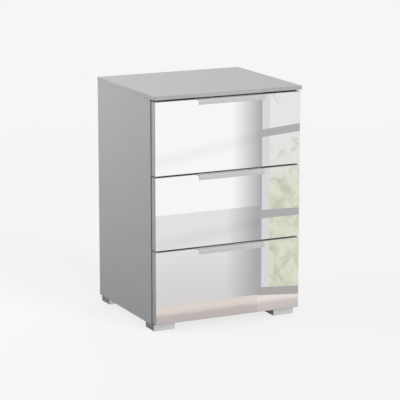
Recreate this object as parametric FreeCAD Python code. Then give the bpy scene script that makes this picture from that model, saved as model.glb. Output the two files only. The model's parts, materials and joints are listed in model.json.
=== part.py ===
import FreeCAD, Part
import os

from collections import namedtuple
from FreeCAD import Vector

# Bedside chest with three mirror-faced drawers on roller runners.
# Millimetres. +X is to the right of someone facing the fronts, +Y goes back, +Z up.
# The origin is on the floor, in the middle of the box round the whole chest.

# Top board
TOP_WIDTH = 400.0
TOP_DEPTH = 350.0
TOP_THICKNESS = 10.0
TOP_SIDE_OVERHANG = 1.0
TOP_FRONT_OVERHANG = 4.0
TOP_EDGE_ROUND = 1.0

# Carcass boards
BOARD = 16.0
BOARD_EDGE_ROUND = 0.8
RAIL_WIDTH = 80.0
BACK_THICKNESS = 3.0
BACK_REBATE = 8.0
BACK_CLEARANCE = 0.3

# Feet
FOOT_WIDTH = 57.0
FOOT_DEPTH = 50.0
FOOT_HEIGHT = 17.0
FOOT_SIDE_INSET = 5.0
FOOT_FRONT_STEP = 4.0
FOOT_EDGE_ROUND = 1.2
FOOT_COUNTERBORE_DEPTH = 6.0

# Drawer fronts and their mirrors. A reveal is a gap that shows beside or above a front.
FRONT_HEIGHT = 181.1
FRONT_SPACING = 3.8
FRONT_SIDE_REVEAL = 1.5
TOP_REVEAL = 4.6
BASE_REVEAL = 4.5
SHADOW_GAP = 3.0
MIRROR_THICKNESS = 4.0
MIRROR_CHAMFER = 0.6

# Edge pulls: one bent sheet over the top edge of a front, with a lip before it and a leg behind it
HANDLE_LENGTH = 180.0
HANDLE_REACH = 20.0
HANDLE_LIP = 12.0
HANDLE_LEG = 18.0
HANDLE_SHEET = 1.5
HANDLE_BEND = 2.5
HANDLE_SCREW_SPACING = 120.0

# Drawer boxes
DRAWER_BOARD = 12.0
DRAWER_LIFT = 22.0
DRAWER_HEADROOM = 38.5
DRAWER_REAR_CLEARANCE = 17.5
DRAWER_BOTTOM = 3.0
GROOVE_DEPTH = 6.0
GROOVE_LIFT = 10.0
GROOVE_CLEARANCE = 0.1
BOX_FASTENER_INSET = 28.0

# Roller runners
RUNNER_GAP = 12.5
RUNNER_SHEET = 1.2
RUNNER_SETBACK = 2.0
RUNNER_DROP = 2.0
RUNNER_OVERLAP = 73.5
RUNNER_TAIL = 2.0
TRACK_SPARE = 0.2
GUARD_SETBACK = 30.0
GUARD_CLEARANCE = 1.2
FLANGE_END_GAP = 2.0
STOP_THICKNESS = 1.5
STOP_CLEARANCE = 0.3
RUNNER_SCREW_INSET = 50.0
RUNNER_SCREW_BELOW_FLANGE = 3.6

# Rollers and the rivets they turn on
ROLLER_RADIUS = 10.0
ROLLER_SIDE_ROOM = 2.0
ROLLER_END_GAP = 2.0
ROLLER_CHAMFER = 0.6
ROLL_CLEARANCE = 0.2
PIN_RADIUS = 2.5
PIN_CLEARANCE = 0.15
PIN_HEAD_RADIUS = 3.0
PIN_HEAD_THICKNESS = 0.5
PIN_SHOULDER_RADIUS = 4.0
PIN_END_PLAY = 0.2

# Dowels: a long one in each board end, a short one up into the thin top
DOWEL_RADIUS = 4.0
DOWEL_LENGTH = 30.0
DOWEL_IN_SIDE = 11.5
TOP_DOWEL_RADIUS = 3.0
TOP_DOWEL_LENGTH = 20.0
TOP_DOWEL_IN_TOP = 6.0
DOWEL_CHAMFER = 0.8
DOWEL_END_ROOM = 0.5

# Cam fittings
CAM_RADIUS = 7.4
CAM_PAST_AXIS = 4.0
CAM_SETBACK = 24.0
CAM_SLOT_WIDTH = 1.6
CAM_SLOT_LENGTH = 9.0
CAM_SLOT_DEPTH = 1.5
CAM_POCKET_RADIUS = 3.4
BOLT_THREAD_RADIUS = 2.5
BOLT_THREAD_LENGTH = 11.0
BOLT_SHANK_RADIUS = 3.0
BOLT_NECK_RADIUS = 1.8
BOLT_NECK_LENGTH = 4.0
BOLT_HEAD_LENGTH = 3.0
JOINT_INSET = 40.0
HOLE_PITCH = 32.0

# Screws: radius of head and shank, depth of a sunk head, height of a raised one, and length.
# A length is what the screw passes through and its bite in the board beyond.
Screw = namedtuple("Screw", "head shank sink rise length")
FOOT_SCREW_BITE = 11.0
TOP_SCREW_BITE = 7.0
BACK_SCREW_BITE = 13.0
BOX_SCREW_BITE = 20.0
BOTTOM_SCREW_BITE = 11.0
HANDLE_SCREW_BITE = 11.5
CABINET_SCREW_BITE = 10.8
DRAWER_SCREW_WEB = 0.5
DRAWER_SCREW_BITE = DRAWER_BOARD - GROOVE_DEPTH - DRAWER_SCREW_WEB
FOOT_SCREW = Screw(4.0, 2.0, 2.2, 0, FOOT_HEIGHT - FOOT_COUNTERBORE_DEPTH + FOOT_SCREW_BITE)
TOP_SCREW = Screw(3.8, 2.0, 2.2, 0, BOARD + TOP_SCREW_BITE)
BACK_SCREW = Screw(3.0, 1.5, 1.7, 0, BACK_THICKNESS + BACK_SCREW_BITE)
BOX_SCREW = Screw(3.5, 1.75, 2.0, 0, DRAWER_BOARD + BOX_SCREW_BITE)
BOTTOM_SCREW = Screw(3.0, 1.5, 1.7, 0, DRAWER_BOTTOM + BOTTOM_SCREW_BITE)
HANDLE_SCREW = Screw(3.2, 1.6, 1.9, 0, HANDLE_SHEET + HANDLE_SCREW_BITE)
CABINET_SCREW = Screw(2.8, 1.75, 0, 1.1, RUNNER_SHEET + CABINET_SCREW_BITE)
DRAWER_SCREW = Screw(2.8, 1.75, 0, 1.1, RUNNER_SHEET + DRAWER_SCREW_BITE)
SCREW_POINT_RADIUS = 0.3
FIT_CLEARANCE = 0.1
BACK_SCREWS_UP_SIDE = 5
BACK_SCREWS_ACROSS = 3
BACK_SCREW_INSET = 40.0
FOOT_SCREW_INSET = 14.0
FOOT_SCREW_SPACING = Vector(18.0, 20.0, 0.0)
TOP_SCREW_SPACING = 240.0
BOTTOM_SCREW_SPACING = 160.0

# Order of the drawers from the floor up, and the two sides by the sign of X
LEVELS = ("lower", "middle", "upper")
SIDES = {"left": -1, "right": 1}
FOOT_ROWS = ("front", "rear")
UP = Vector(0, 0, 1)
BACKWARD = Vector(0, 1, 0)
FORWARD = Vector(0, -1, 0)

# Widths
CARCASS_HALF = TOP_WIDTH / 2 - TOP_SIDE_OVERHANG
INNER_HALF = CARCASS_HALF - BOARD
FRONT_HALF = CARCASS_HALF - FRONT_SIDE_REVEAL
BOX_HALF = INNER_HALF - RUNNER_GAP
BOX_INNER_HALF = BOX_HALF - DRAWER_BOARD

# Depths. FACE_Y is the plane of the mirrors.
BODY_DEPTH = TOP_DEPTH - TOP_FRONT_OVERHANG
BACK_Y = (BODY_DEPTH + max(HANDLE_REACH, TOP_FRONT_OVERHANG)) / 2
FACE_Y = BACK_Y - BODY_DEPTH
BOARD_FACE_Y = FACE_Y + MIRROR_THICKNESS
FRONT_BACK_Y = BOARD_FACE_Y + BOARD
CARCASS_FRONT_Y = FRONT_BACK_Y + SHADOW_GAP
INNER_BACK_Y = BACK_Y - BACK_THICKNESS
BOX_REAR_Y = INNER_BACK_Y - DRAWER_REAR_CLEARANCE

# Heights
LEVEL_PITCH = FRONT_HEIGHT + FRONT_SPACING
FRONTS_HEIGHT = len(LEVELS) * LEVEL_PITCH - FRONT_SPACING
TOP_UNDER_Z = FOOT_HEIGHT + BASE_REVEAL + FRONTS_HEIGHT + TOP_REVEAL
BOX_HEIGHT = FRONT_HEIGHT - DRAWER_LIFT - DRAWER_HEADROOM
RAIL_Z = TOP_UNDER_Z - BOARD
BOTTOM_MID_Z = FOOT_HEIGHT + BOARD / 2
RAIL_MID_Z = TOP_UNDER_Z - BOARD / 2

# Runner places, the same on every level. Heights are above the underside of the carcass rail,
# and the roller's offset and the track's width are inwards from the side panel.
ROLLER_OFFSET = RUNNER_SHEET + ROLLER_SIDE_ROOM
ROLLER_WIDTH = RUNNER_GAP - 2 * ROLLER_OFFSET
ROLLER_INSET = ROLLER_RADIUS + ROLLER_END_GAP
TRACK_WIDTH = ROLLER_OFFSET + ROLLER_WIDTH + TRACK_SPARE
FLANGE_START = ROLLER_OFFSET + TRACK_SPARE
RUNNER_FRONT_Y = CARCASS_FRONT_Y + RUNNER_SETBACK
DRAWER_RUNNER_FRONT_Y = FRONT_BACK_Y + RUNNER_SETBACK
CABINET_AXLE_Y = RUNNER_FRONT_Y + ROLLER_INSET
DRAWER_AXLE_Y = BOX_REAR_Y - ROLLER_INSET
TRAVEL = BOX_REAR_Y - DRAWER_RUNNER_FRONT_Y - RUNNER_OVERLAP
STOP_REACH = ROLLER_RADIUS + STOP_CLEARANCE
REAR_STOP_Y = DRAWER_AXLE_Y + STOP_REACH
FRONT_STOP_Y = DRAWER_AXLE_Y - TRAVEL - STOP_REACH - STOP_THICKNESS
RUNNER_REAR_Y = REAR_STOP_Y + STOP_THICKNESS + RUNNER_TAIL
AXLE_RISE = RUNNER_SHEET + ROLL_CLEARANCE + ROLLER_RADIUS
FLANGE_RISE = AXLE_RISE + ROLLER_RADIUS + ROLL_CLEARANCE
RUNNER_HEIGHT = FLANGE_RISE + RUNNER_SHEET + GUARD_CLEARANCE + RUNNER_SHEET
RUNNER_SCREW_RISE = FLANGE_RISE - RUNNER_SCREW_BELOW_FLANGE

# Joints between board ends and side panels: a dowel and a cam bolt one pitch apart, at one height
Joint = namedtuple("Joint", "dowel_y cam_y z")
RAIL_INSET = (RAIL_WIDTH - HOLE_PITCH) / 2
BOTTOM_JOINTS = (
    Joint(CARCASS_FRONT_Y + JOINT_INSET, CARCASS_FRONT_Y + JOINT_INSET + HOLE_PITCH, BOTTOM_MID_Z),
    Joint(INNER_BACK_Y - JOINT_INSET, INNER_BACK_Y - JOINT_INSET - HOLE_PITCH, BOTTOM_MID_Z))
FRONT_RAIL_JOINTS = (
    Joint(CARCASS_FRONT_Y + RAIL_INSET, CARCASS_FRONT_Y + RAIL_INSET + HOLE_PITCH, RAIL_MID_Z),)
REAR_RAIL_JOINTS = (
    Joint(INNER_BACK_Y - RAIL_INSET, INNER_BACK_Y - RAIL_INSET - HOLE_PITCH, RAIL_MID_Z),)
END_JOINTS = BOTTOM_JOINTS + FRONT_RAIL_JOINTS + REAR_RAIL_JOINTS


def span(a, b):
    """The two limits in rising order."""
    return min(a, b), max(a, b)


def from_side(side, near, far):
    """X limits between two distances inwards from a side panel's inner face."""
    return span(side * (INNER_HALF - near), side * (INNER_HALF - far))


def box(x, y, z):
    """Box between three pairs of limits."""
    return Part.makeBox(x[1] - x[0], y[1] - y[0], z[1] - z[0], Vector(x[0], y[0], z[0]))


def rod(start, direction, radius, length):
    """Plain cylinder from a point along a direction."""
    return Part.makeCylinder(radius, length, start, direction)


def turned(corners, start, direction):
    """Solid turned about an axis from its (radius, distance) corners."""
    points = [Vector(radius, 0, distance) for radius, distance in corners]
    face = Part.Face(Part.makePolygon(points + points[:1]))
    solid = face.revolve(Vector(), UP, 360)
    solid.Placement = FreeCAD.Placement(start, FreeCAD.Rotation(UP, direction))
    return solid


def rounded(shape, radius, chosen):
    """Shape with a fillet on each edge whose middle passes the test."""
    return shape.makeFillet(radius, [edge for edge in shape.Edges if chosen(edge.CenterOfMass)])


def near_depth(y, room):
    """Test for edges whose middle lies within some room of a depth."""
    return lambda middle: abs(middle.y - y) < room


def screw(size, start, direction):
    """Screw seated with its head at start and its point along direction."""
    head = [(0, -size.rise), (size.head, -size.rise)]
    raised = [(size.head, 0)] if size.rise else []
    shank = [(size.shank, size.sink), (size.shank, size.length - size.shank)]
    point = [(SCREW_POINT_RADIUS, size.length), (0, size.length)]
    return turned(head + raised + shank + point, start, direction)


def screw_group(size, starts, direction):
    """Equal screws that point the same way, as one group."""
    return Part.makeCompound([screw(size, start, direction) for start in starts])


def screw_hole(size, start, direction):
    """Cutter for a screw: its own outline below the head's seat, with the fit clearance all round."""
    shank = size.shank + FIT_CLEARANCE
    depth = size.length + FIT_CLEARANCE
    mouth = [(size.head + FIT_CLEARANCE, 0), (shank, size.sink)] if size.sink else [(shank, 0)]
    return turned([(0, 0)] + mouth + [(shank, depth), (0, depth)], start, direction)


def dowel(start, direction, radius, length):
    """Wooden dowel with a small chamfer at both ends."""
    rim = radius - DOWEL_CHAMFER
    return turned([(0, 0), (rim, 0), (radius, DOWEL_CHAMFER), (radius, length - DOWEL_CHAMFER),
                   (rim, length), (0, length)], start, direction)


def dowel_hole(start, direction, radius, length):
    """Cutter for a dowel, with glue room at both ends."""
    mouth = start - direction * DOWEL_END_ROOM
    return rod(mouth, direction, radius + FIT_CLEARANCE, length + 2 * DOWEL_END_ROOM)


def cam_bolt(joint, direction):
    """Bolt whose thread ends at a joint face and whose head points along direction, into the cam."""
    shank_end = CAM_SETBACK - CAM_RADIUS - FIT_CLEARANCE
    neck_end = shank_end + BOLT_NECK_LENGTH
    head_end = neck_end + BOLT_HEAD_LENGTH
    return turned(
        [(0, -BOLT_THREAD_LENGTH), (BOLT_THREAD_RADIUS, -BOLT_THREAD_LENGTH), (BOLT_THREAD_RADIUS, 0),
         (BOLT_SHANK_RADIUS, 0), (BOLT_SHANK_RADIUS, shank_end), (BOLT_NECK_RADIUS, shank_end),
         (BOLT_NECK_RADIUS, neck_end), (BOLT_SHANK_RADIUS, neck_end), (BOLT_SHANK_RADIUS, head_end),
         (0, head_end)], joint, direction)


def bolt_thread_hole(joint, direction):
    """Cutter for a cam bolt's thread, in the board that it is screwed into."""
    return rod(joint, direction * -1, BOLT_THREAD_RADIUS + FIT_CLEARANCE, BOLT_THREAD_LENGTH + FIT_CLEARANCE)


def bolt_shank_hole(joint, direction):
    """Cutter for a cam bolt's shank, in the end of the board that it pulls tight."""
    return rod(joint, direction, BOLT_SHANK_RADIUS + FIT_CLEARANCE, CAM_SETBACK)


def cam_depth(board):
    """Depth of a cam in a board, just past the bolt in the board's middle."""
    return board / 2 + CAM_PAST_AXIS


def cam_lock(face_point, inward, bolt_direction, board):
    """Round cam let into a board's face, slotted for a screwdriver and open towards its bolt."""
    depth = cam_depth(board)
    body = rod(face_point, inward, CAM_RADIUS, depth)
    across = inward.cross(bolt_direction)
    slots = [slot_cutter(face_point, inward, along) for along in (across, bolt_direction)]
    pocket_start = face_point + inward * (board / 2) - bolt_direction * CAM_SETBACK
    pocket = rod(pocket_start, bolt_direction, CAM_POCKET_RADIUS, CAM_SETBACK)
    return body.cut(slots + [pocket])


def slot_cutter(face_point, inward, along):
    """One arm of a cross slot in a face."""
    across = inward.cross(along)
    corner = face_point - along * (CAM_SLOT_LENGTH / 2) - across * (CAM_SLOT_WIDTH / 2)
    steps = (along * CAM_SLOT_LENGTH, across * CAM_SLOT_WIDTH)
    outline = [corner, corner + steps[0], corner + steps[0] + steps[1], corner + steps[1], corner]
    return Part.Face(Part.makePolygon(outline)).extrude(inward * CAM_SLOT_DEPTH)


def cam_hole(face_point, inward, board):
    """Cutter for a cam."""
    return rod(face_point, inward, CAM_RADIUS + FIT_CLEARANCE, cam_depth(board) + FIT_CLEARANCE)


def end_bolt_start(side, joint):
    """Where a cam bolt leaves a side panel's inner face, and which way it runs."""
    return Vector(side * INNER_HALF, joint.cam_y, joint.z), Vector(-side, 0, 0)


def end_dowel_start(side, joint):
    """Where a board-end dowel starts, inside the side panel, and which way it runs."""
    return Vector(side * (INNER_HALF + DOWEL_IN_SIDE), joint.dowel_y, joint.z), Vector(-side, 0, 0)


def end_cam_face(side, joint):
    """Centre of a cam on the underside of the board that it pulls to the side panel."""
    return Vector(side * (INNER_HALF - CAM_SETBACK), joint.cam_y, joint.z - BOARD / 2)


def top_dowel_starts(side):
    """Foot of each dowel that locates the top on a side panel."""
    x = side * (INNER_HALF + BOARD / 2)
    z = TOP_UNDER_Z + TOP_DOWEL_IN_TOP - TOP_DOWEL_LENGTH
    return [Vector(x, y, z) for y in (CARCASS_FRONT_Y + JOINT_INSET, INNER_BACK_Y - JOINT_INSET)]


def top_dowel_holes(side):
    """Cutters for the dowels between a side panel and the top."""
    return [dowel_hole(start, UP, TOP_DOWEL_RADIUS, TOP_DOWEL_LENGTH) for start in top_dowel_starts(side)]


def top_screw_starts():
    """Head of each screw that goes up through a rail into the top."""
    rows = (CARCASS_FRONT_Y + RAIL_WIDTH / 2, INNER_BACK_Y - RAIL_WIDTH / 2)
    return [Vector(sign * TOP_SCREW_SPACING / 2, y, RAIL_Z) for y in rows for sign in (-1, 1)]


def back_screw_starts():
    """Head of each screw in the back: up both edges, and across its lower and upper edge."""
    edge_x = INNER_HALF + BACK_REBATE / 2
    low = FOOT_HEIGHT + BACK_SCREW_INSET
    rise = (TOP_UNDER_Z - BACK_SCREW_INSET - low) / (BACK_SCREWS_UP_SIDE - 1)
    run = 2 * (INNER_HALF - BACK_SCREW_INSET) / (BACK_SCREWS_ACROSS - 1)
    starts = []
    for side in SIDES.values():
        starts += [Vector(side * edge_x, BACK_Y, low + i * rise) for i in range(BACK_SCREWS_UP_SIDE)]
    for z in (BOTTOM_MID_Z, RAIL_MID_Z):
        first = Vector(BACK_SCREW_INSET - INNER_HALF, BACK_Y, z)
        starts += [first + Vector(i * run, 0, 0) for i in range(BACK_SCREWS_ACROSS)]
    return starts


def foot_limits(side, row):
    """X and Y limits of a foot."""
    outer = CARCASS_HALF - FOOT_SIDE_INSET
    x = span(side * outer, side * (outer - FOOT_WIDTH))
    front = CARCASS_FRONT_Y - FOOT_FRONT_STEP
    return x, (front, front + FOOT_DEPTH) if row == "front" else (BACK_Y - FOOT_DEPTH, BACK_Y)


def foot_screw_starts(side, row):
    """Head of each screw in a foot, up in its counterbore."""
    y = sum(foot_limits(side, row)[1]) / 2
    outer = INNER_HALF - FOOT_SCREW_INSET
    step = FOOT_SCREW_SPACING
    return [Vector(side * outer, y - step.y / 2, FOOT_COUNTERBORE_DEPTH),
            Vector(side * (outer - step.x), y + step.y / 2, FOOT_COUNTERBORE_DEPTH)]


def all_foot_screws():
    """Head of every foot screw."""
    starts = []
    for side in SIDES.values():
        for row in FOOT_ROWS:
            starts += foot_screw_starts(side, row)
    return starts


def level_z(level):
    """Lower edge of a drawer's front."""
    return FOOT_HEIGHT + BASE_REVEAL + LEVELS.index(level) * LEVEL_PITCH


def box_z(level):
    """Lower edge of a drawer's sides."""
    return level_z(level) + DRAWER_LIFT


def runner_z(level):
    """Underside of a drawer's carcass rails."""
    return box_z(level) - RUNNER_DROP


def cabinet_screw_starts(side, level):
    """Seat of each screw that holds a carcass rail to its side panel."""
    x = side * (INNER_HALF - RUNNER_SHEET)
    z = runner_z(level) + RUNNER_SCREW_RISE
    rows = (RUNNER_FRONT_Y + RUNNER_SCREW_INSET, RUNNER_REAR_Y - RUNNER_SCREW_INSET)
    return [Vector(x, y, z) for y in rows]


def drawer_screw_starts(side, level):
    """Seat of each screw that holds a drawer rail to its drawer side."""
    x = side * (BOX_HALF + RUNNER_SHEET)
    z = runner_z(level) + RUNNER_SCREW_RISE
    rows = (DRAWER_RUNNER_FRONT_Y + RUNNER_SCREW_INSET, BOX_REAR_Y - RUNNER_SCREW_INSET)
    return [Vector(x, y, z) for y in rows]


def box_fastener_heights(level):
    """Heights of the lower and upper fastener at each corner of a drawer box."""
    return box_z(level) + BOX_FASTENER_INSET, box_z(level) + BOX_HEIGHT - BOX_FASTENER_INSET


def front_bolt_joints(side, level):
    """Point on a drawer front's back face for each cam bolt."""
    x = side * (BOX_HALF - DRAWER_BOARD / 2)
    return [Vector(x, FRONT_BACK_Y, z) for z in box_fastener_heights(level)]


def front_cam_faces(side, level):
    """Centre of each cam on the inner face of a drawer side."""
    x = side * BOX_INNER_HALF
    return [Vector(x, FRONT_BACK_Y + CAM_SETBACK, z) for z in box_fastener_heights(level)]


def box_screw_starts(side, level):
    """Head of each screw through a drawer side into the drawer back."""
    return [Vector(side * BOX_HALF, BOX_REAR_Y - DRAWER_BOARD / 2, z) for z in box_fastener_heights(level)]


def bottom_screw_starts(level):
    """Head of each screw up through a drawer bottom into the drawer back."""
    y = BOX_REAR_Y - DRAWER_BOARD / 2
    return [Vector(sign * BOTTOM_SCREW_SPACING / 2, y, bottom_z(level)[0]) for sign in (-1, 1)]


def handle_screw_starts(level):
    """Head of each screw through an edge pull's rear leg into the front board."""
    z = level_z(level) + FRONT_HEIGHT - HANDLE_LEG / 2
    y = FRONT_BACK_Y + HANDLE_SHEET
    return [Vector(sign * HANDLE_SCREW_SPACING / 2, y, z) for sign in (-1, 1)]


def bottom_z(level):
    """Z limits of a drawer bottom."""
    low = box_z(level) + GROOVE_LIFT
    return low, low + DRAWER_BOTTOM


def groove(level):
    """Cutter for the groove that holds a drawer bottom, in both sides and in the front board."""
    reach = BOX_INNER_HALF + GROOVE_DEPTH
    low, high = bottom_z(level)
    return box((-reach, reach), (FRONT_BACK_Y - GROOVE_DEPTH, BOX_REAR_Y),
               (low - GROOVE_CLEARANCE, high + GROOVE_CLEARANCE))


def top_panel():
    """Thin top board with rounded edges."""
    half = TOP_WIDTH / 2
    board = box((-half, half), (BACK_Y - TOP_DEPTH, BACK_Y), (TOP_UNDER_Z, TOP_UNDER_Z + TOP_THICKNESS))
    board = rounded(board, TOP_EDGE_ROUND, lambda middle: True)
    holes = [screw_hole(TOP_SCREW, start, UP) for start in top_screw_starts()]
    for side in SIDES.values():
        holes += top_dowel_holes(side)
    return board.cut(holes)


def side_panel(side):
    """Side board, rebated at the back for the hardboard and bored on its inner face."""
    x = span(side * CARCASS_HALF, side * INNER_HALF)
    board = box(x, (CARCASS_FRONT_Y, BACK_Y), (FOOT_HEIGHT, TOP_UNDER_Z))
    board = rounded(board, BOARD_EDGE_ROUND, near_depth(CARCASS_FRONT_Y, BOARD_EDGE_ROUND))
    holes = [box(from_side(side, -BACK_REBATE, 0), (INNER_BACK_Y, BACK_Y), (FOOT_HEIGHT, TOP_UNDER_Z))]
    for joint in END_JOINTS:
        holes.append(dowel_hole(*end_dowel_start(side, joint), DOWEL_RADIUS, DOWEL_LENGTH))
        holes.append(bolt_thread_hole(*end_bolt_start(side, joint)))
    holes += top_dowel_holes(side)
    holes += [screw_hole(BACK_SCREW, start, FORWARD) for start in back_screw_starts()]
    outward = Vector(side, 0, 0)
    for level in LEVELS:
        holes += [screw_hole(CABINET_SCREW, start, outward) for start in cabinet_screw_starts(side, level)]
    return board.cut(holes)


def cross_board(y, z, joints):
    """Board between the side panels, bored at both ends for its dowels and cam fittings."""
    holes = [screw_hole(BACK_SCREW, start, FORWARD) for start in back_screw_starts()]
    for side in SIDES.values():
        for joint in joints:
            holes.append(dowel_hole(*end_dowel_start(side, joint), DOWEL_RADIUS, DOWEL_LENGTH))
            holes.append(bolt_shank_hole(*end_bolt_start(side, joint)))
            holes.append(cam_hole(end_cam_face(side, joint), UP, BOARD))
    return box((-INNER_HALF, INNER_HALF), y, z).cut(holes)


def bottom_panel():
    """Bottom board, level with the lower ends of the sides."""
    board = cross_board((CARCASS_FRONT_Y, INNER_BACK_Y), (FOOT_HEIGHT, FOOT_HEIGHT + BOARD), BOTTOM_JOINTS)
    return board.cut([screw_hole(FOOT_SCREW, start, UP) for start in all_foot_screws()])


def rail(front_y, joints):
    """Flat rail under the top."""
    board = cross_board((front_y, front_y + RAIL_WIDTH), (RAIL_Z, TOP_UNDER_Z), joints)
    return board.cut([screw_hole(TOP_SCREW, start, UP) for start in top_screw_starts()])


def back_panel():
    """Hardboard back, let into the rebates of the sides."""
    half = INNER_HALF + BACK_REBATE - BACK_CLEARANCE
    board = box((-half, half), (INNER_BACK_Y, BACK_Y), (FOOT_HEIGHT, TOP_UNDER_Z - BACK_CLEARANCE))
    return board.cut([screw_hole(BACK_SCREW, start, FORWARD) for start in back_screw_starts()])


def foot(side, row):
    """Block foot with rounded edges, screwed up into the bottom board."""
    x, y = foot_limits(side, row)
    block = box(x, y, (0, FOOT_HEIGHT))
    block = rounded(block, FOOT_EDGE_ROUND, lambda middle: middle.z < FOOT_HEIGHT - FOOT_EDGE_ROUND)
    holes = [screw_hole(FOOT_SCREW, start, UP) for start in foot_screw_starts(side, row)]
    for start in foot_screw_starts(side, row):
        mouth = Vector(start.x, start.y, 0)
        holes.append(rod(mouth, UP, FOOT_SCREW.head + FIT_CLEARANCE, FOOT_COUNTERBORE_DEPTH))
    return block.cut(holes)


def carcass_dowels():
    """Every dowel of the carcass."""
    dowels = []
    for side in SIDES.values():
        dowels += [dowel(*end_dowel_start(side, joint), DOWEL_RADIUS, DOWEL_LENGTH) for joint in END_JOINTS]
        dowels += [dowel(start, UP, TOP_DOWEL_RADIUS, TOP_DOWEL_LENGTH) for start in top_dowel_starts(side)]
    return dowels


def carcass_cam_bolts():
    """Every cam bolt of the carcass."""
    return [cam_bolt(*end_bolt_start(side, joint)) for side in SIDES.values() for joint in END_JOINTS]


def carcass_cam_locks():
    """Every cam of the carcass."""
    return [cam_lock(end_cam_face(side, joint), UP, Vector(-side, 0, 0), BOARD)
            for side in SIDES.values() for joint in END_JOINTS]


def axle(start, direction):
    """Rivet that a roller turns on, from a rail's web face: root in the web, shoulder, pin and head."""
    shoulder = ROLLER_SIDE_ROOM - PIN_END_PLAY
    pin_end = shoulder + ROLLER_WIDTH + 2 * PIN_END_PLAY
    head_end = pin_end + PIN_HEAD_THICKNESS
    root = -RUNNER_SHEET / 2
    return turned(
        [(0, root), (PIN_SHOULDER_RADIUS, root), (PIN_SHOULDER_RADIUS, shoulder), (PIN_RADIUS, shoulder),
         (PIN_RADIUS, pin_end), (PIN_HEAD_RADIUS, pin_end), (PIN_HEAD_RADIUS, head_end), (0, head_end)],
        start, direction)


def roller(side, y, z):
    """Nylon roller with a plain bore."""
    bore = PIN_RADIUS + PIN_CLEARANCE
    rim = ROLLER_RADIUS - ROLLER_CHAMFER
    corners = [(bore, 0), (rim, 0), (ROLLER_RADIUS, ROLLER_CHAMFER),
               (ROLLER_RADIUS, ROLLER_WIDTH - ROLLER_CHAMFER), (rim, ROLLER_WIDTH), (bore, ROLLER_WIDTH)]
    return turned(corners, Vector(side * (INNER_HALF - ROLLER_OFFSET), y, z), Vector(-side, 0, 0))


def cabinet_runner(side, level):
    """Carcass rail: web, track for the drawer's roller, guard above it, two stops and the front axle."""
    base = runner_z(level)
    top = base + RUNNER_HEIGHT
    length = (RUNNER_FRONT_Y, RUNNER_REAR_Y)
    web = box(from_side(side, 0, RUNNER_SHEET), length, (base, top))
    track = box(from_side(side, 0, TRACK_WIDTH), length, (base, base + RUNNER_SHEET))
    guard = box(from_side(side, 0, TRACK_WIDTH), (RUNNER_FRONT_Y + GUARD_SETBACK, RUNNER_REAR_Y),
                (top - RUNNER_SHEET, top))
    stops = [box(from_side(side, 0, TRACK_WIDTH), (y, y + STOP_THICKNESS), (base, base + AXLE_RISE))
             for y in (FRONT_STOP_Y, REAR_STOP_Y)]
    axle_start = Vector(side * (INNER_HALF - RUNNER_SHEET), CABINET_AXLE_Y, base + AXLE_RISE)
    pin = axle(axle_start, Vector(-side, 0, 0))
    holes = [rod(start, Vector(side, 0, 0), CABINET_SCREW.shank + FIT_CLEARANCE, RUNNER_SHEET)
             for start in cabinet_screw_starts(side, level)]
    return web.fuse([track, guard, pin] + stops).removeSplitter().cut(holes)


def drawer_runner(side, level):
    """Drawer rail: web and ledge round the drawer side, flange over the front roller, and rear axle."""
    base = runner_z(level)
    low = box_z(level) - RUNNER_SHEET
    top = base + FLANGE_RISE + RUNNER_SHEET
    face = RUNNER_GAP - RUNNER_SHEET
    length = (DRAWER_RUNNER_FRONT_Y, BOX_REAR_Y)
    web = box(from_side(side, face, RUNNER_GAP), length, (low, top))
    ledge = box(from_side(side, face, RUNNER_GAP + DRAWER_BOARD), length, (low, low + RUNNER_SHEET))
    flange_end = DRAWER_AXLE_Y - ROLLER_RADIUS - FLANGE_END_GAP
    flange = box(from_side(side, FLANGE_START, RUNNER_GAP), (DRAWER_RUNNER_FRONT_Y, flange_end),
                 (top - RUNNER_SHEET, top))
    axle_start = Vector(side * (BOX_HALF + RUNNER_SHEET), DRAWER_AXLE_Y, base + AXLE_RISE)
    pin = axle(axle_start, Vector(side, 0, 0))
    holes = [rod(start, Vector(-side, 0, 0), DRAWER_SCREW.shank + FIT_CLEARANCE, RUNNER_SHEET)
             for start in drawer_screw_starts(side, level)]
    return web.fuse([ledge, flange, pin]).removeSplitter().cut(holes)


def roller_pair(y, level):
    """Left and right roller on one axis."""
    return [roller(side, y, runner_z(level) + AXLE_RISE) for side in SIDES.values()]


def drawer_front(level):
    """Front board that carries the mirror and closes the drawer box."""
    low = level_z(level)
    board = box((-FRONT_HALF, FRONT_HALF), (BOARD_FACE_Y, FRONT_BACK_Y), (low, low + FRONT_HEIGHT))
    board = rounded(board, BOARD_EDGE_ROUND, near_depth(FRONT_BACK_Y, BOARD_EDGE_ROUND))
    holes = [groove(level)]
    holes += [screw_hole(HANDLE_SCREW, start, FORWARD) for start in handle_screw_starts(level)]
    for side in SIDES.values():
        holes += [bolt_thread_hole(joint, BACKWARD) for joint in front_bolt_joints(side, level)]
    return board.cut(holes)


def mirror(level):
    """Mirror glass over the whole front, with a fine ground edge."""
    low = level_z(level)
    glass = box((-FRONT_HALF, FRONT_HALF), (FACE_Y, BOARD_FACE_Y), (low, low + FRONT_HEIGHT))
    on_face = near_depth(FACE_Y, MIRROR_CHAMFER)
    return glass.makeChamfer(MIRROR_CHAMFER, [edge for edge in glass.Edges if on_face(edge.CenterOfMass)])


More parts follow.
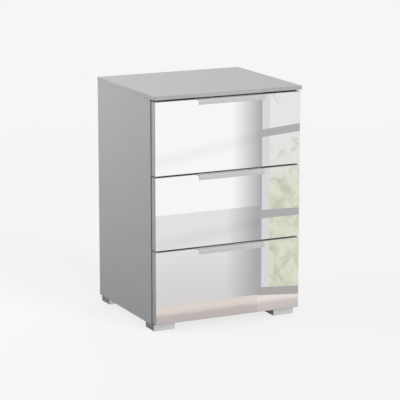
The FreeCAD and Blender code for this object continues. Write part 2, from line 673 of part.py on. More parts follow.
def handle(level):
    """Edge pull: sheet over the front's top edge, bent down into a lip before it and a leg behind it."""
    seat = level_z(level) + FRONT_HEIGHT
    top = seat + HANDLE_SHEET
    lip_end = top - HANDLE_LIP
    leg_end = seat - HANDLE_LEG
    lip_front = FACE_Y - HANDLE_REACH
    lip_back = lip_front + HANDLE_SHEET
    leg_back = FRONT_BACK_Y + HANDLE_SHEET
    outline = [(lip_front, top), (leg_back, top), (leg_back, leg_end), (FRONT_BACK_Y, leg_end),
               (FRONT_BACK_Y, seat), (lip_back, seat), (lip_back, lip_end), (lip_front, lip_end)]
    points = [Vector(-HANDLE_LENGTH / 2, y, z) for y, z in outline]
    sheet = Part.Face(Part.makePolygon(points + points[:1])).extrude(Vector(HANDLE_LENGTH, 0, 0))
    sheet = rounded(sheet, HANDLE_BEND, lambda middle: on_bend(middle, top, (lip_front, leg_back)))
    inner_bend = HANDLE_BEND - HANDLE_SHEET
    sheet = rounded(sheet, inner_bend, lambda middle: on_bend(middle, seat, (lip_back,)))
    return sheet.cut([screw_hole(HANDLE_SCREW, start, FORWARD) for start in handle_screw_starts(level)])


def on_bend(middle, z, rows):
    """Whether an edge's middle lies on one of the long bend lines."""
    return abs(middle.x) < FIT_CLEARANCE and abs(middle.z - z) < FIT_CLEARANCE and any(
        abs(middle.y - y) < FIT_CLEARANCE for y in rows)


def drawer_side(side, level):
    """Drawer side, grooved for the bottom and bored for its fasteners."""
    low = box_z(level)
    x = span(side * BOX_HALF, side * BOX_INNER_HALF)
    board = box(x, (FRONT_BACK_Y, BOX_REAR_Y), (low, low + BOX_HEIGHT))
    inward, outward = Vector(-side, 0, 0), Vector(side, 0, 0)
    holes = [groove(level)]
    holes += [bolt_shank_hole(joint, BACKWARD) for joint in front_bolt_joints(side, level)]
    holes += [cam_hole(face, outward, DRAWER_BOARD) for face in front_cam_faces(side, level)]
    holes += [screw_hole(BOX_SCREW, start, inward) for start in box_screw_starts(side, level)]
    holes += [screw_hole(DRAWER_SCREW, start, inward) for start in drawer_screw_starts(side, level)]
    return board.cut(holes)


def drawer_back(level):
    """Drawer back, standing on the drawer bottom between the sides."""
    board = box((-BOX_INNER_HALF, BOX_INNER_HALF), (BOX_REAR_Y - DRAWER_BOARD, BOX_REAR_Y),
                (bottom_z(level)[1], box_z(level) + BOX_HEIGHT))
    holes = [screw_hole(BOTTOM_SCREW, start, UP) for start in bottom_screw_starts(level)]
    for side in SIDES.values():
        inward = Vector(-side, 0, 0)
        holes += [screw_hole(BOX_SCREW, start, inward) for start in box_screw_starts(side, level)]
    return board.cut(holes)


def drawer_bottom(level):
    """Hardboard drawer bottom, in the grooves of the sides and the front."""
    reach = BOX_INNER_HALF + GROOVE_DEPTH - GROOVE_CLEARANCE
    front = FRONT_BACK_Y - GROOVE_DEPTH + GROOVE_CLEARANCE
    board = box((-reach, reach), (front, BOX_REAR_Y), bottom_z(level))
    return board.cut([screw_hole(BOTTOM_SCREW, start, UP) for start in bottom_screw_starts(level)])


def drawer_fixings(level):
    """Screws, cam bolts and cams of one drawer."""
    pieces = [screw(HANDLE_SCREW, start, FORWARD) for start in handle_screw_starts(level)]
    pieces += [screw(BOTTOM_SCREW, start, UP) for start in bottom_screw_starts(level)]
    for side in SIDES.values():
        inward, outward = Vector(-side, 0, 0), Vector(side, 0, 0)
        pieces += [screw(BOX_SCREW, start, inward) for start in box_screw_starts(side, level)]
        pieces += [screw(DRAWER_SCREW, start, inward) for start in drawer_screw_starts(side, level)]
        pieces += [cam_bolt(joint, BACKWARD) for joint in front_bolt_joints(side, level)]
        faces = front_cam_faces(side, level)
        pieces += [cam_lock(face, outward, BACKWARD, DRAWER_BOARD) for face in faces]
    return pieces


def carcass_nodes():
    """Boards, feet and fasteners that stand still."""
    nodes = {
        "top_panel": top_panel(),
        "bottom_panel": bottom_panel(),
        "back_panel": back_panel(),
        "front_rail": rail(CARCASS_FRONT_Y, FRONT_RAIL_JOINTS),
        "rear_rail": rail(INNER_BACK_Y - RAIL_WIDTH, REAR_RAIL_JOINTS),
        "carcass_dowels": Part.makeCompound(carcass_dowels()),
        "cam_bolts": Part.makeCompound(carcass_cam_bolts()),
        "cam_locks": Part.makeCompound(carcass_cam_locks()),
        "top_screws": screw_group(TOP_SCREW, top_screw_starts(), UP),
        "back_panel_screws": screw_group(BACK_SCREW, back_screw_starts(), FORWARD),
        "foot_screws": screw_group(FOOT_SCREW, all_foot_screws(), UP),
    }
    runner_screws = []
    for name, side in SIDES.items():
        nodes[f"side_panel_{name}"] = side_panel(side)
        for row in FOOT_ROWS:
            nodes[f"foot_{row}_{name}"] = foot(side, row)
        for level in LEVELS:
            nodes[f"cabinet_runner_{name}_{level}"] = cabinet_runner(side, level)
            starts = cabinet_screw_starts(side, level)
            runner_screws += [screw(CABINET_SCREW, start, Vector(side, 0, 0)) for start in starts]
    nodes["runner_screws"] = Part.makeCompound(runner_screws)
    return nodes


def drawer_nodes(level):
    """One drawer, its rollers and the carcass rollers that it runs on."""
    nodes = {
        f"drawer_front_{level}": drawer_front(level),
        f"mirror_{level}": mirror(level),
        f"handle_{level}": handle(level),
        f"drawer_back_{level}": drawer_back(level),
        f"drawer_bottom_{level}": drawer_bottom(level),
        f"drawer_fixings_{level}": Part.makeCompound(drawer_fixings(level)),
        f"drawer_rollers_{level}": Part.makeCompound(roller_pair(DRAWER_AXLE_Y, level)),
        f"cabinet_rollers_{level}": Part.makeCompound(roller_pair(CABINET_AXLE_Y, level)),
    }
    for name, side in SIDES.items():
        nodes[f"drawer_side_{name}_{level}"] = drawer_side(side, level)
        nodes[f"drawer_runner_{name}_{level}"] = drawer_runner(side, level)
    return nodes


def main():
    """Build every node and write each to its own file."""
    os.makedirs("parts", exist_ok=True)
    nodes = carcass_nodes()
    for level in LEVELS:
        nodes.update(drawer_nodes(level))
    for name, shape in nodes.items():
        shape.exportStep(f"parts/{name}.step")


main()
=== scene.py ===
"""Looks of a bedside chest with three mirror-faced drawers on roller runners.

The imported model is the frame. Its boards, mirrors, pulls, feet and rails keep their meshes and get finishes.
Its plain fasteners and rollers are made again with threads, recesses, flutes and ribs.
Metres, +X to the right of someone facing the fronts, +Y back, +Z up.
"""
import json
import logging
import math
from dataclasses import dataclass
from enum import Enum

import bmesh
import bpy
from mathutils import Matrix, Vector


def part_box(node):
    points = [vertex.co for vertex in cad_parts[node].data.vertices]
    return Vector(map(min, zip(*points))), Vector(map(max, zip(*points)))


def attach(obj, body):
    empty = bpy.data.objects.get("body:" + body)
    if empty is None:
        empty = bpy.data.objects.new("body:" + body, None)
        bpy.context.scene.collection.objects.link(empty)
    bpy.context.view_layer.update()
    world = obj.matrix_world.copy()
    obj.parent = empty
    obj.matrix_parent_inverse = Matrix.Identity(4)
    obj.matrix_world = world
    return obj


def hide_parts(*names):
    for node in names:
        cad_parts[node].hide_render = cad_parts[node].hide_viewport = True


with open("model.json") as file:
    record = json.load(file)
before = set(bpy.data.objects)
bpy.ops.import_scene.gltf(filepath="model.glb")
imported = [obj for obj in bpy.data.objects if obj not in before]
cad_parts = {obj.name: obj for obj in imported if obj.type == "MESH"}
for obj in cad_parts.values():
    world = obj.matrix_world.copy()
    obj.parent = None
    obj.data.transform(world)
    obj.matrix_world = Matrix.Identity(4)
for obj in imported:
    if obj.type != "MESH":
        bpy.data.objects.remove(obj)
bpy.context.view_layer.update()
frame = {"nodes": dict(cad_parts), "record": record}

MM = 0.001
LEVELS = ("upper", "middle", "lower")
SIDES = ("left", "right")
FOOT_ROWS = ("front", "rear")
# Vertices nearer than this are one
TOUCH = 1e-5
# Edges that turn by more than this stay sharp
SHARP_ANGLE = math.radians(35.0)
# Name of the points' attribute that says which way a fitting points
AIM = "aim"
WHITE = "#FFFFFF"
# Settings of a node that mixes two colours, and of one that multiplies them
BLEND = {"data_type": "RGBA"}
TINT = {"data_type": "RGBA", "blend_type": "MULTIPLY"}
log = logging.getLogger("chest")

Colour = tuple[float, float, float, float]
Place = tuple[float, float, float]
Span = tuple[float, float]
Inputs = dict[str | int, object]
Tree = bpy.types.NodeTree
Mesh = bpy.types.Mesh


def linear(code: str) -> Colour:
    """Turn an sRGB colour to linear.

    Args:
        code: Hex colour, such as #B9B9B9.

    Returns:
        Linear red, green and blue, and an alpha of 1.
    """
    shares = [int(code[start:start + 2], 16) / 255 for start in (1, 3, 5)]
    red, green, blue = (s / 12.92 if s <= 0.04045 else ((s + 0.055) / 1.055) ** 2.4 for s in shares)
    return red, green, blue, 1.0


def grain(size: float) -> float:
    """Texture scale at which a pattern's features are about this many millimetres."""
    return 1.0 / (size * MM)


@dataclass(frozen=True)
class Wire:
    """One output of a node."""

    tree: Tree
    socket: bpy.types.NodeSocket | None

    def __getitem__(self, name: str) -> "Wire":
        """Another output of the same node."""
        return Wire(self.tree, self.socket.node.outputs[name])


Size = Wire | float


def add(tree: Tree, kind: str, inputs: Inputs | None = None, **settings: object) -> Wire:
    """Add a node with its settings and links.

    Args:
        tree: Tree that gets the node.
        kind: Type name of the node.
        inputs: Value or wire for each input, by the input's name or place, or a list of wires.
        settings: Values of the node's own properties.

    Returns:
        The node's first output in use.
    """
    node = tree.nodes.new(kind)
    for name, value in settings.items():
        setattr(node, name, value)
    for key, given in (inputs or {}).items():
        fitting = (socket for socket in node.inputs if socket.enabled and socket.name == key)
        target = node.inputs[key] if isinstance(key, int) else next(fitting)
        for value in given if isinstance(given, list) else [given]:
            if isinstance(value, Wire):
                tree.links.new(value.socket, target)
            else:
                target.default_value = value
    return Wire(tree, next((socket for socket in node.outputs if socket.enabled), None))


def emptied(owner: bpy.types.Material | bpy.types.World) -> Tree:
    """Give a material or a world an empty tree.

    Args:
        owner: The material or world.

    Returns:
        Its tree.
    """
    owner.use_nodes = True
    owner.node_tree.nodes.clear()
    return owner.node_tree


def put(name: str, data: bpy.types.ID) -> bpy.types.Object:
    """Add an object to the scene.

    Args:
        name: Its name.
        data: Its mesh, lamp or camera.

    Returns:
        The object, at the origin.
    """
    made = bpy.data.objects.new(name, data)
    bpy.context.scene.collection.objects.link(made)
    return made


class Face(Enum):
    """Directions that a flat face of a board can look in."""

    FRONT = (0.0, -1.0, 0.0)
    BACK = (0.0, 1.0, 0.0)
    UNDER = (0.0, 0.0, -1.0)
    UPPER = (0.0, 0.0, 1.0)


def facing(tree: Tree, face: Face, least: float = 0.9) -> Wire:
    """Mask of the surface that looks one way.

    Args:
        tree: Tree that gets the nodes.
        face: The direction.
        least: Least cosine of the angle between the surface's normal and the direction.

    Returns:
        1 on that surface and 0 elsewhere.
    """
    normal = add(tree, "ShaderNodeTexCoord")["Normal"]
    cosine = add(tree, "ShaderNodeVectorMath", {0: normal, 1: face.value}, operation="DOT_PRODUCT")
    return add(tree, "ShaderNodeMath", {0: cosine["Value"], 1: least}, operation="GREATER_THAN")


def tinted(colour: str, *patterns: tuple[Wire, float, float]) -> Wire:
    """Vary the brightness of a colour.

    Args:
        colour: Hex colour.
        patterns: Patterns from 0 to 1, each with the tones that 0 and 1 multiply the colour by.

    Returns:
        The colour over the piece.
    """
    tone = linear(colour)
    for pattern, low, high in patterns:
        shade = add(pattern.tree, "ShaderNodeMix", {"Factor": pattern, "A": low, "B": high})
        tone = add(pattern.tree, "ShaderNodeMix", {"Factor": 1.0, "A": tone, "B": shade}, **TINT)
    return tone


class Ease(Enum):
    """How one thing gives way to another."""

    STRAIGHT = "LINEAR"
    SOFT = "SMOOTHSTEP"


def passage(value: Wire, span: tuple[Size, Size], first: Wire | str, last: Wire | str, ease: Ease) -> Wire:
    """Pass from one colour to another.

    Args:
        value: What the colour depends on.
        span: Where the passage starts and where it ends.
        first: Colour before it, built or as hex.
        last: Colour after it, built or as hex.
        ease: How it goes.

    Returns:
        The colour.
    """
    share = add(value.tree, "ShaderNodeMapRange", {"Value": value, "From Min": span[0], "From Max": span[1]},
                interpolation_type=ease.value)
    ends = [linear(end) if isinstance(end, str) else end for end in (first, last)]
    return add(value.tree, "ShaderNodeMix", {"Factor": share, "A": ends[0], "B": ends[1]}, **BLEND)


@dataclass(frozen=True)
class Pattern:
    """An irregular pattern: millimetres of a feature along X and across it, and how it breaks up."""

    length: float
    width: float
    detail: float
    roughness: float = 0.5
    distortion: float = 0.0

    def over(self, place: Wire) -> Wire:
        """Lay the pattern over a piece.

        Args:
            place: Place on the piece.

        Returns:
            The pattern, from 0 to 1.
        """
        scale = (grain(self.length), grain(self.width), grain(self.width))
        along = add(place.tree, "ShaderNodeMapping", {"Vector": place, "Scale": scale})
        return add(place.tree, "ShaderNodeTexNoise", {
            "Vector": along, "Scale": 1.0, "Detail": self.detail, "Roughness": self.roughness,
            "Distortion": self.distortion})


class Finish:
    """What every finish can do: build its material once, and dress nodes in it. Its sizes are millimetres."""

    name: str

    def shade(self, place: Wire) -> Inputs:
        """Build what the surface shader gets.

        Args:
            place: Place on the piece.

        Returns:
            Inputs of the shader.
        """
        raise NotImplementedError

    def material(self) -> bpy.types.Material:
        """Give the finish as a material, which is built on first use.

        Returns:
            The material, named for the finish.
        """
        made = bpy.data.materials.get(self.name)
        if made is None:
            made = bpy.data.materials.new(self.name)
            tree = emptied(made)
            inputs = self.shade(add(tree, "ShaderNodeTexCoord")["Object"])
            surface = add(tree, "ShaderNodeBsdfPrincipled", inputs)
            add(tree, "ShaderNodeOutputMaterial", {"Surface": surface})
        return made

    def dress(self, *nodes: str) -> None:
        """Put the finish on nodes of the frame.

        Args:
            nodes: Names of the nodes.
        """
        for node in nodes:
            for slot in frame["nodes"][node].material_slots:
                slot.material = self.material()
            log.info("%s: %s", node, self.name)


@dataclass(frozen=True)
class BoardFinish(Finish):
    """Faced chipboard: a coloured face and edging over a core of pressed chips.

    The facing is thin, so the core shows where a hole, groove or rebate goes past it, and on edges left bare.
    """

    node: str
    face: str
    name_of_face: str
    roughness: float
    pores: Pattern
    pore_depth: float
    bare: tuple[Face, ...] = ()
    facing_depth: float = 0.5
    gloss_spread: float = 0.05
    # A printed plain decor is very slightly cloudy over a few centimetres
    cloud: Pattern = Pattern(40.0, 40.0, 3.0)
    cloud_tones: Span = (0.97, 1.03)
    edging: float = 0.9
    seam_width: float = 0.25
    seam_tone: float = 0.9
    chip: float = 2.5
    chip_pale: str = "#C4A67C"
    chip_dark: str = "#7D6142"
    chip_depth: float = 0.3
    chip_roughness: float = 0.9

    @property
    def name(self) -> str:
        """Material name: one for each board, because the core's place depends on the board's box."""
        return f"{self.name_of_face}.{self.node}"

    def depths(self, place: Wire) -> tuple[Wire, Wire]:
        """Measure in from the board's box.

        Args:
            place: Place on the piece.

        Returns:
            Depth below the nearest face, and distance from the next nearest, which is the edge of a face.
        """
        tree = place.tree
        low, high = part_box(self.node)
        centred = add(tree, "ShaderNodeVectorMath", {0: place, 1: (low + high) / 2}, operation="SUBTRACT")
        outward = add(tree, "ShaderNodeVectorMath", {0: centred}, operation="ABSOLUTE")
        inward = add(tree, "ShaderNodeVectorMath", {0: (high - low) / 2, 1: outward}, operation="SUBTRACT")
        split = add(tree, "ShaderNodeSeparateXYZ", {"Vector": inward})
        x, y, z = (split[axis] for axis in "XYZ")
        lesser = add(tree, "ShaderNodeMath", {0: x, 1: y}, operation="MINIMUM")
        greater = add(tree, "ShaderNodeMath", {0: x, 1: y}, operation="MAXIMUM")
        nearest = add(tree, "ShaderNodeMath", {0: lesser, 1: z}, operation="MINIMUM")
        upper = add(tree, "ShaderNodeMath", {0: greater, 1: z}, operation="MINIMUM")
        return nearest, add(tree, "ShaderNodeMath", {0: lesser, 1: upper}, operation="MAXIMUM")

    def shade(self, place: Wire) -> Inputs:
        """Print, edging seam and pores of the face, and the chips of the core.

        Args:
            place: Place on the piece.

        Returns:
            Inputs of the shader.
        """
        tree = place.tree
        depth, edge = self.depths(place)
        core = add(tree, "ShaderNodeMath", {0: depth, 1: self.facing_depth * MM}, operation="GREATER_THAN")
        for bare in self.bare:
            core = add(tree, "ShaderNodeMath", {0: core, 1: facing(tree, bare)}, operation="MAXIMUM")
        seam = add(tree, "ShaderNodeMath", {0: edge, 1: self.edging * MM, 2: self.seam_width * MM},
                   operation="COMPARE")
        face = tinted(self.face, (self.cloud.over(place), *self.cloud_tones), (seam, 1.0, self.seam_tone))
        chips = add(tree, "ShaderNodeTexVoronoi", {"Vector": place, "Scale": grain(self.chip)})
        tone = add(tree, "ShaderNodeSeparateColor", {"Color": chips["Color"]})
        chip = passage(tone, (0.0, 1.0), self.chip_dark, self.chip_pale, Ease.STRAIGHT)
        # The pores of the facing are pressed in by the plate, and the chips of a sawn edge stand up further
        pores = self.pores.over(place)
        height = add(tree, "ShaderNodeMix", {"Factor": core, "A": pores, "B": chips["Distance"]})
        relief = add(tree, "ShaderNodeMix", {
            "Factor": core, "A": self.pore_depth * MM, "B": self.chip_depth * MM})
        gloss = add(tree, "ShaderNodeMix", {
            "Factor": pores, "A": self.roughness - self.gloss_spread,
            "B": self.roughness + self.gloss_spread})
        return {
            "Base Color": add(tree, "ShaderNodeMix", {"Factor": core, "A": face, "B": chip}, **BLEND),
            "Normal": add(tree, "ShaderNodeBump", {"Height": height, "Distance": relief}),
            "Roughness": add(tree, "ShaderNodeMix", {"Factor": core, "A": gloss, "B": self.chip_roughness}),
        }


@dataclass(frozen=True)
class SilverMelamine(BoardFinish):
    """Silver-grey melamine facing: satin, with a fine pearl pressed in, so light spreads softly on it."""

    face: str = "#B4B4B4"
    name_of_face: str = "silver_melamine"
    roughness: float = 0.5
    # A real pearl is about 0.4 mm, and is drawn coarser so that it shows
    pores: Pattern = Pattern(1.2, 1.2, 2.0)
    pore_depth: float = 0.03


@dataclass(frozen=True)
class DrawerFoil(BoardFinish):
    """Pale grey foil wrapped round drawer boards: smoother than the outside, its print too fine to feel."""

    face: str = "#C8C8C6"
    name_of_face: str = "drawer_foil"
    roughness: float = 0.42
    pores: Pattern = Pattern(0.9, 0.9, 2.0)
    pore_depth: float = 0.02
    chip: float = 2.0


@dataclass(frozen=True)
class Hardboard(Finish):
    """Thin hardboard: lacquered grey on one face, bare brown fibre with a screen's imprint on the other."""

    name: str
    lacquered: Face
    lacquer: str = "#C2C2C0"
    lacquer_roughness: float = 0.4
    fibre_pale: str = "#B5946D"
    fibre_dark: str = "#8B6B4A"
    fibre_roughness: float = 0.85
    fibres: Pattern = Pattern(6.0, 6.0, 8.0, 0.7, 1.5)
    fibre_contrast: Span = (0.3, 0.7)
    # The screen that presses the sheet has about 1.5 mm between wires, drawn coarser so that it shows
    screen: float = 3.0
    screen_depth: float = 0.15
    screen_strength: float = 0.4

    def shade(self, place: Wire) -> Inputs:
        """Lacquer on one face, matted fibres and the screen's imprint elsewhere.

        Args:
            place: Place on the piece.

        Returns:
            Inputs of the shader.
        """
        tree = place.tree
        painted = facing(tree, self.lacquered)
        fibres = self.fibres.over(place)
        brown = passage(fibres, self.fibre_contrast, self.fibre_dark, self.fibre_pale, Ease.STRAIGHT)
        wires = add(tree, "ShaderNodeTexVoronoi", {
            "Vector": place, "Scale": grain(self.screen), "Randomness": 0.0})
        height = add(tree, "ShaderNodeMix", {"Factor": painted, "A": wires["Distance"], "B": fibres})
        return {
            "Base Color": passage(painted, (0.0, 1.0), brown, self.lacquer, Ease.STRAIGHT),
            "Normal": add(tree, "ShaderNodeBump", {
                "Height": height, "Strength": self.screen_strength, "Distance": self.screen_depth * MM}),
            "Roughness": add(tree, "ShaderNodeMix", {
                "Factor": painted, "A": self.fibre_roughness, "B": self.lacquer_roughness}),
        }


@dataclass(frozen=True)
class MirrorGlass(Finish):
    """Silvered float glass: a clear, very slightly green mirror, with fine-ground green edges."""

    name: str = "silvered_float_glass"
    silver: str = "#F4F5F5"
    ground_edge: str = "#A3ABA7"
    edge_tones: Span = (0.8, 1.2)
    edge_roughness: float = 0.35
    # The grit of the grinding wheel is under 0.1 mm, and is drawn coarser so that it shows
    grit: Pattern = Pattern(0.6, 0.6, 2.0)
    # Cosine past which a surface belongs to the front face and not to its chamfer
    front_cosine: float = 0.98

    def shade(self, place: Wire) -> Inputs:
        """Mirror on the front face, ground glass on the chamfer and the edges.

        Args:
            place: Place on the piece.

        Returns:
            Inputs of the shader.
        """
        tree = place.tree
        front = facing(tree, Face.FRONT, self.front_cosine)
        edge = tinted(self.ground_edge, (self.grit.over(place), *self.edge_tones))
        return {
            "Base Color": passage(front, (0.0, 1.0), edge, self.silver, Ease.STRAIGHT),
            "Metallic": front,
            "Roughness": add(tree, "ShaderNodeMix", {"Factor": front, "A": self.edge_roughness, "B": 0.0}),
        }


@dataclass(frozen=True)
class GrainedFinish(Finish):
    """One colour, with one pattern in its brightness, and one in its gloss and relief."""

    name: str
    tone: str
    roughness: Span
    tint: Pattern
    tones: Span
    relief: Pattern
    depth: float
    strength: float
    metallic: float = 0.0

    def shade(self, place: Wire) -> Inputs:
        """Patterns in colour, gloss and relief.

        Args:
            place: Place on the piece.

        Returns:
            Inputs of the shader.
        """
        tree = place.tree
        relief = self.relief.over(place)
        smooth, rough = self.roughness
        return {
            "Base Color": tinted(self.tone, (self.tint.over(place), *self.tones)),
            "Metallic": self.metallic,
            "Roughness": add(tree, "ShaderNodeMix", {"Factor": relief, "A": smooth, "B": rough}),
            "Normal": add(tree, "ShaderNodeBump", {
                "Height": relief, "Strength": self.strength, "Distance": self.depth * MM}),
        }


# Brush lines are about 0.1 mm wide and 40 mm long, drawn wider and longer so that they show
BRUSHED = Pattern(120.0, 2.0, 3.0)


@dataclass(frozen=True)
class SatinAluminium(GrainedFinish):
    """Satin anodised aluminium sheet, brushed along its length, so highlights stretch across the lip.

    The oxide layer scatters part of the light before it reaches the metal, so it looks milky, not bright.
    """

    name: str = "satin_anodised_aluminium"
    tone: str = "#D3D3D3"
    roughness: Span = (0.42, 0.52)
    tint: Pattern = BRUSHED
    tones: Span = (0.95, 1.03)
    relief: Pattern = BRUSHED
    depth: float = 0.03
    strength: float = 0.3
    metallic: float = 0.55


@dataclass(frozen=True)
class MouldedPlastic(GrainedFinish):
    """Moulded plastic: an even colour with the fine spark-eroded grain of its mould."""

    # The pigment is slightly uneven over a centimetre or two
    tint: Pattern = Pattern(15.0, 15.0, 4.0)
    tones: Span = (0.94, 1.06)
    # Mould grain is about 0.2 mm, drawn coarser so that it shows
    relief: Pattern = Pattern(0.8, 0.8, 3.0)
    depth: float = 0.04
    strength: float = 0.5


@dataclass(frozen=True)
class PowderCoat(GrainedFinish):
    """White epoxy powder on pressed steel: glossy, with the faint orange peel that powder flows out to."""

    name: str = "white_powder_coat"
    tone: str = "#E4E4E0"
    roughness: Span = (0.25, 0.35)
    # The coat's thickness changes over about a centimetre
    tint: Pattern = Pattern(12.0, 12.0, 2.0)
    tones: Span = (0.95, 1.03)
    relief: Pattern = Pattern(2.0, 2.0, 1.0)
    depth: float = 0.05
    strength: float = 0.3


@dataclass(frozen=True)
class PlatedMetal(Finish):
    """Plated or cast zinc: a bright grey metal whose crystals vary the gloss from spot to spot."""

    name: str
    tone: str
    roughness: Span
    crystal: float
    tones: Span = (0.9, 1.08)

    def shade(self, place: Wire) -> Inputs:
        """Crystals in colour and gloss.

        Args:
            place: Place on the piece.

        Returns:
            Inputs of the shader.
        """
        tree = place.tree
        crystals = add(tree, "ShaderNodeTexVoronoi", {"Vector": place, "Scale": grain(self.crystal)})
        level = add(tree, "ShaderNodeSeparateColor", {"Color": crystals["Color"]})
        smooth, rough = self.roughness
        return {
            "Base Color": tinted(self.tone, (level, *self.tones)),
            "Metallic": 1.0,
            "Roughness": add(tree, "ShaderNodeMix", {"Factor": level, "A": smooth, "B": rough}),
        }


@dataclass(frozen=True)
class BeechWood(Finish):
    """Plain turned beech: pale brown, with short dark flecks along the grain."""

    name: str = "beech"
    pale: str = "#D3B288"
    dark: str = "#A67E52"
    roughness: float = 0.7
    flecks: Pattern = Pattern(8.0, 0.8, 4.0)

    def shade(self, place: Wire) -> Inputs:
        """Flecks along the length of the dowels, which lie along X."""
        tone = passage(self.flecks.over(place), (0.0, 1.0), self.dark, self.pale, Ease.STRAIGHT)
        return {"Base Color": tone, "Roughness": self.roughness}


MIRROR = MirrorGlass()
ALUMINIUM = SatinAluminium()
FOOT_PLASTIC = MouldedPlastic("silver_painted_plastic", "#E0E0E1", (0.28, 0.44), metallic=0.8)
NYLON = MouldedPlastic("nylon", "#E6E3DA", (0.34, 0.5), relief=Pattern(0.5, 0.5, 3.0), depth=0.02)
POWDER = PowderCoat()
ZINC_PLATE = PlatedMetal("zinc_plated_steel", "#C9CBCE", (0.24, 0.36), 0.8)
ZINC_CAST = PlatedMetal("cast_zinc", "#A9ABAE", (0.36, 0.48), 1.2)
BEECH = BeechWood()
BACK_HARDBOARD = Hardboard("back_hardboard", Face.FRONT)
DRAWER_HARDBOARD = Hardboard("drawer_hardboard", Face.UPPER)


@dataclass(frozen=True)
class Turned:
    """A turned solid of the frame: its seat, the way it points, and the rings of its outline.

    A ring is a distance from the seat along the axis, and a radius there. The seat is the wider end's centre.
    """

    seat: Vector
    aim: Vector
    rings: tuple[Span, ...]

    @property
    def length(self) -> float:
        """Length along the axis."""
        return self.rings[-1][0]

    @property
    def radius(self) -> float:
        """Largest radius."""
        return max(radius for _, radius in self.rings)

    def radii(self, distance: float) -> list[float]:
        """Radii of the rings at a distance from the seat, smallest first."""
        return [radius for at, radius in self.rings if abs(at - distance) < TOUCH]

    def plain_run(self) -> tuple[float, float, float]:
        """Longest stretch between two rings: where it starts, where it ends, and its radius at the end."""
        first, last = max(zip(self.rings, self.rings[1:]), key=lambda pair: pair[1][0] - pair[0][0])
        return first[0], last[0], last[1]


@dataclass(frozen=True)
class Solid:
    """One solid of a node, with its vertices merged."""

    points: tuple[Vector, ...]
    faces: tuple[tuple[int, ...], ...]

    def turned(self) -> Turned:
        """Read the solid as a turned one.

        Returns:
            Its seat, aim and rings, with the axis along the side that its two like sides leave.
        """
        low, high = (Vector(end(axis) for axis in zip(*self.points)) for end in (min, max))
        sides, middle = high - low, (low + high) / 2
        axis = min(range(3), key=lambda a: abs(sides[a - 1] - sides[a - 2]))
        aim = Vector(float(a == axis) for a in range(3))
        spans = [(point - middle).dot(aim) for point in self.points]
        radii = [(point - middle - aim * span).length for point, span in zip(self.points, spans)]
        half = sides[axis] / 2
        ends = [max(r for s, r in zip(spans, radii) if s * end > half - TOUCH) for end in (-1, 1)]
        head = -1 if ends[0] > ends[1] - TOUCH else 1
        rings = {(round(half - head * s, 5), round(r, 5)) for s, r in zip(spans, radii)}
        return Turned(middle + aim * (head * half), aim * -head, tuple(sorted(rings)))

    def mesh(self, finish: Finish) -> Mesh:
        """Copy the solid as a mesh of its own.

        Args:
            finish: Its finish.

        Returns:
            A mesh that is smooth round its curves and sharp at its edges.
        """
        copy = bpy.data.meshes.new(finish.name)
        copy.from_pydata(self.points, [], self.faces)
        copy.materials.append(finish.material())
        copy.shade_smooth()
        copy.set_sharp_from_angle(angle=SHARP_ANGLE)
        return copy


def solids_of(node: str) -> list[Solid]:
    """Split a node's loose triangles into its solids.

    Args:
        node: A node of the frame.

    Returns:
        Its solids.
    """
    shape = bmesh.new()
    shape.from_mesh(frame["nodes"][node].data)
    bmesh.ops.remove_doubles(shape, verts=shape.verts, dist=TOUCH)
    shape.verts.index_update()
    shape.faces.index_update()
    solids = []
    done: set[int] = set()
    for first in shape.verts:
        if first.index in done:
            continue
        done.add(first.index)
        group, open_ends = [], [first]
        while open_ends:
            vertex = open_ends.pop()
            group.append(vertex)
            others = (edge.other_vert(vertex) for edge in vertex.link_edges)
            fresh = [other for other in others if other.index not in done]
            done.update(other.index for other in fresh)
            open_ends.extend(fresh)
        order = {vertex.index: place for place, vertex in enumerate(group)}
        faces = {face.index: face for vertex in group for face in vertex.link_faces}
        corners = tuple(tuple(order[v.index] for v in faces[index].verts) for index in sorted(faces))
        solids.append(Solid(tuple(vertex.co.copy() for vertex in group), corners))
    shape.free()
    return solids


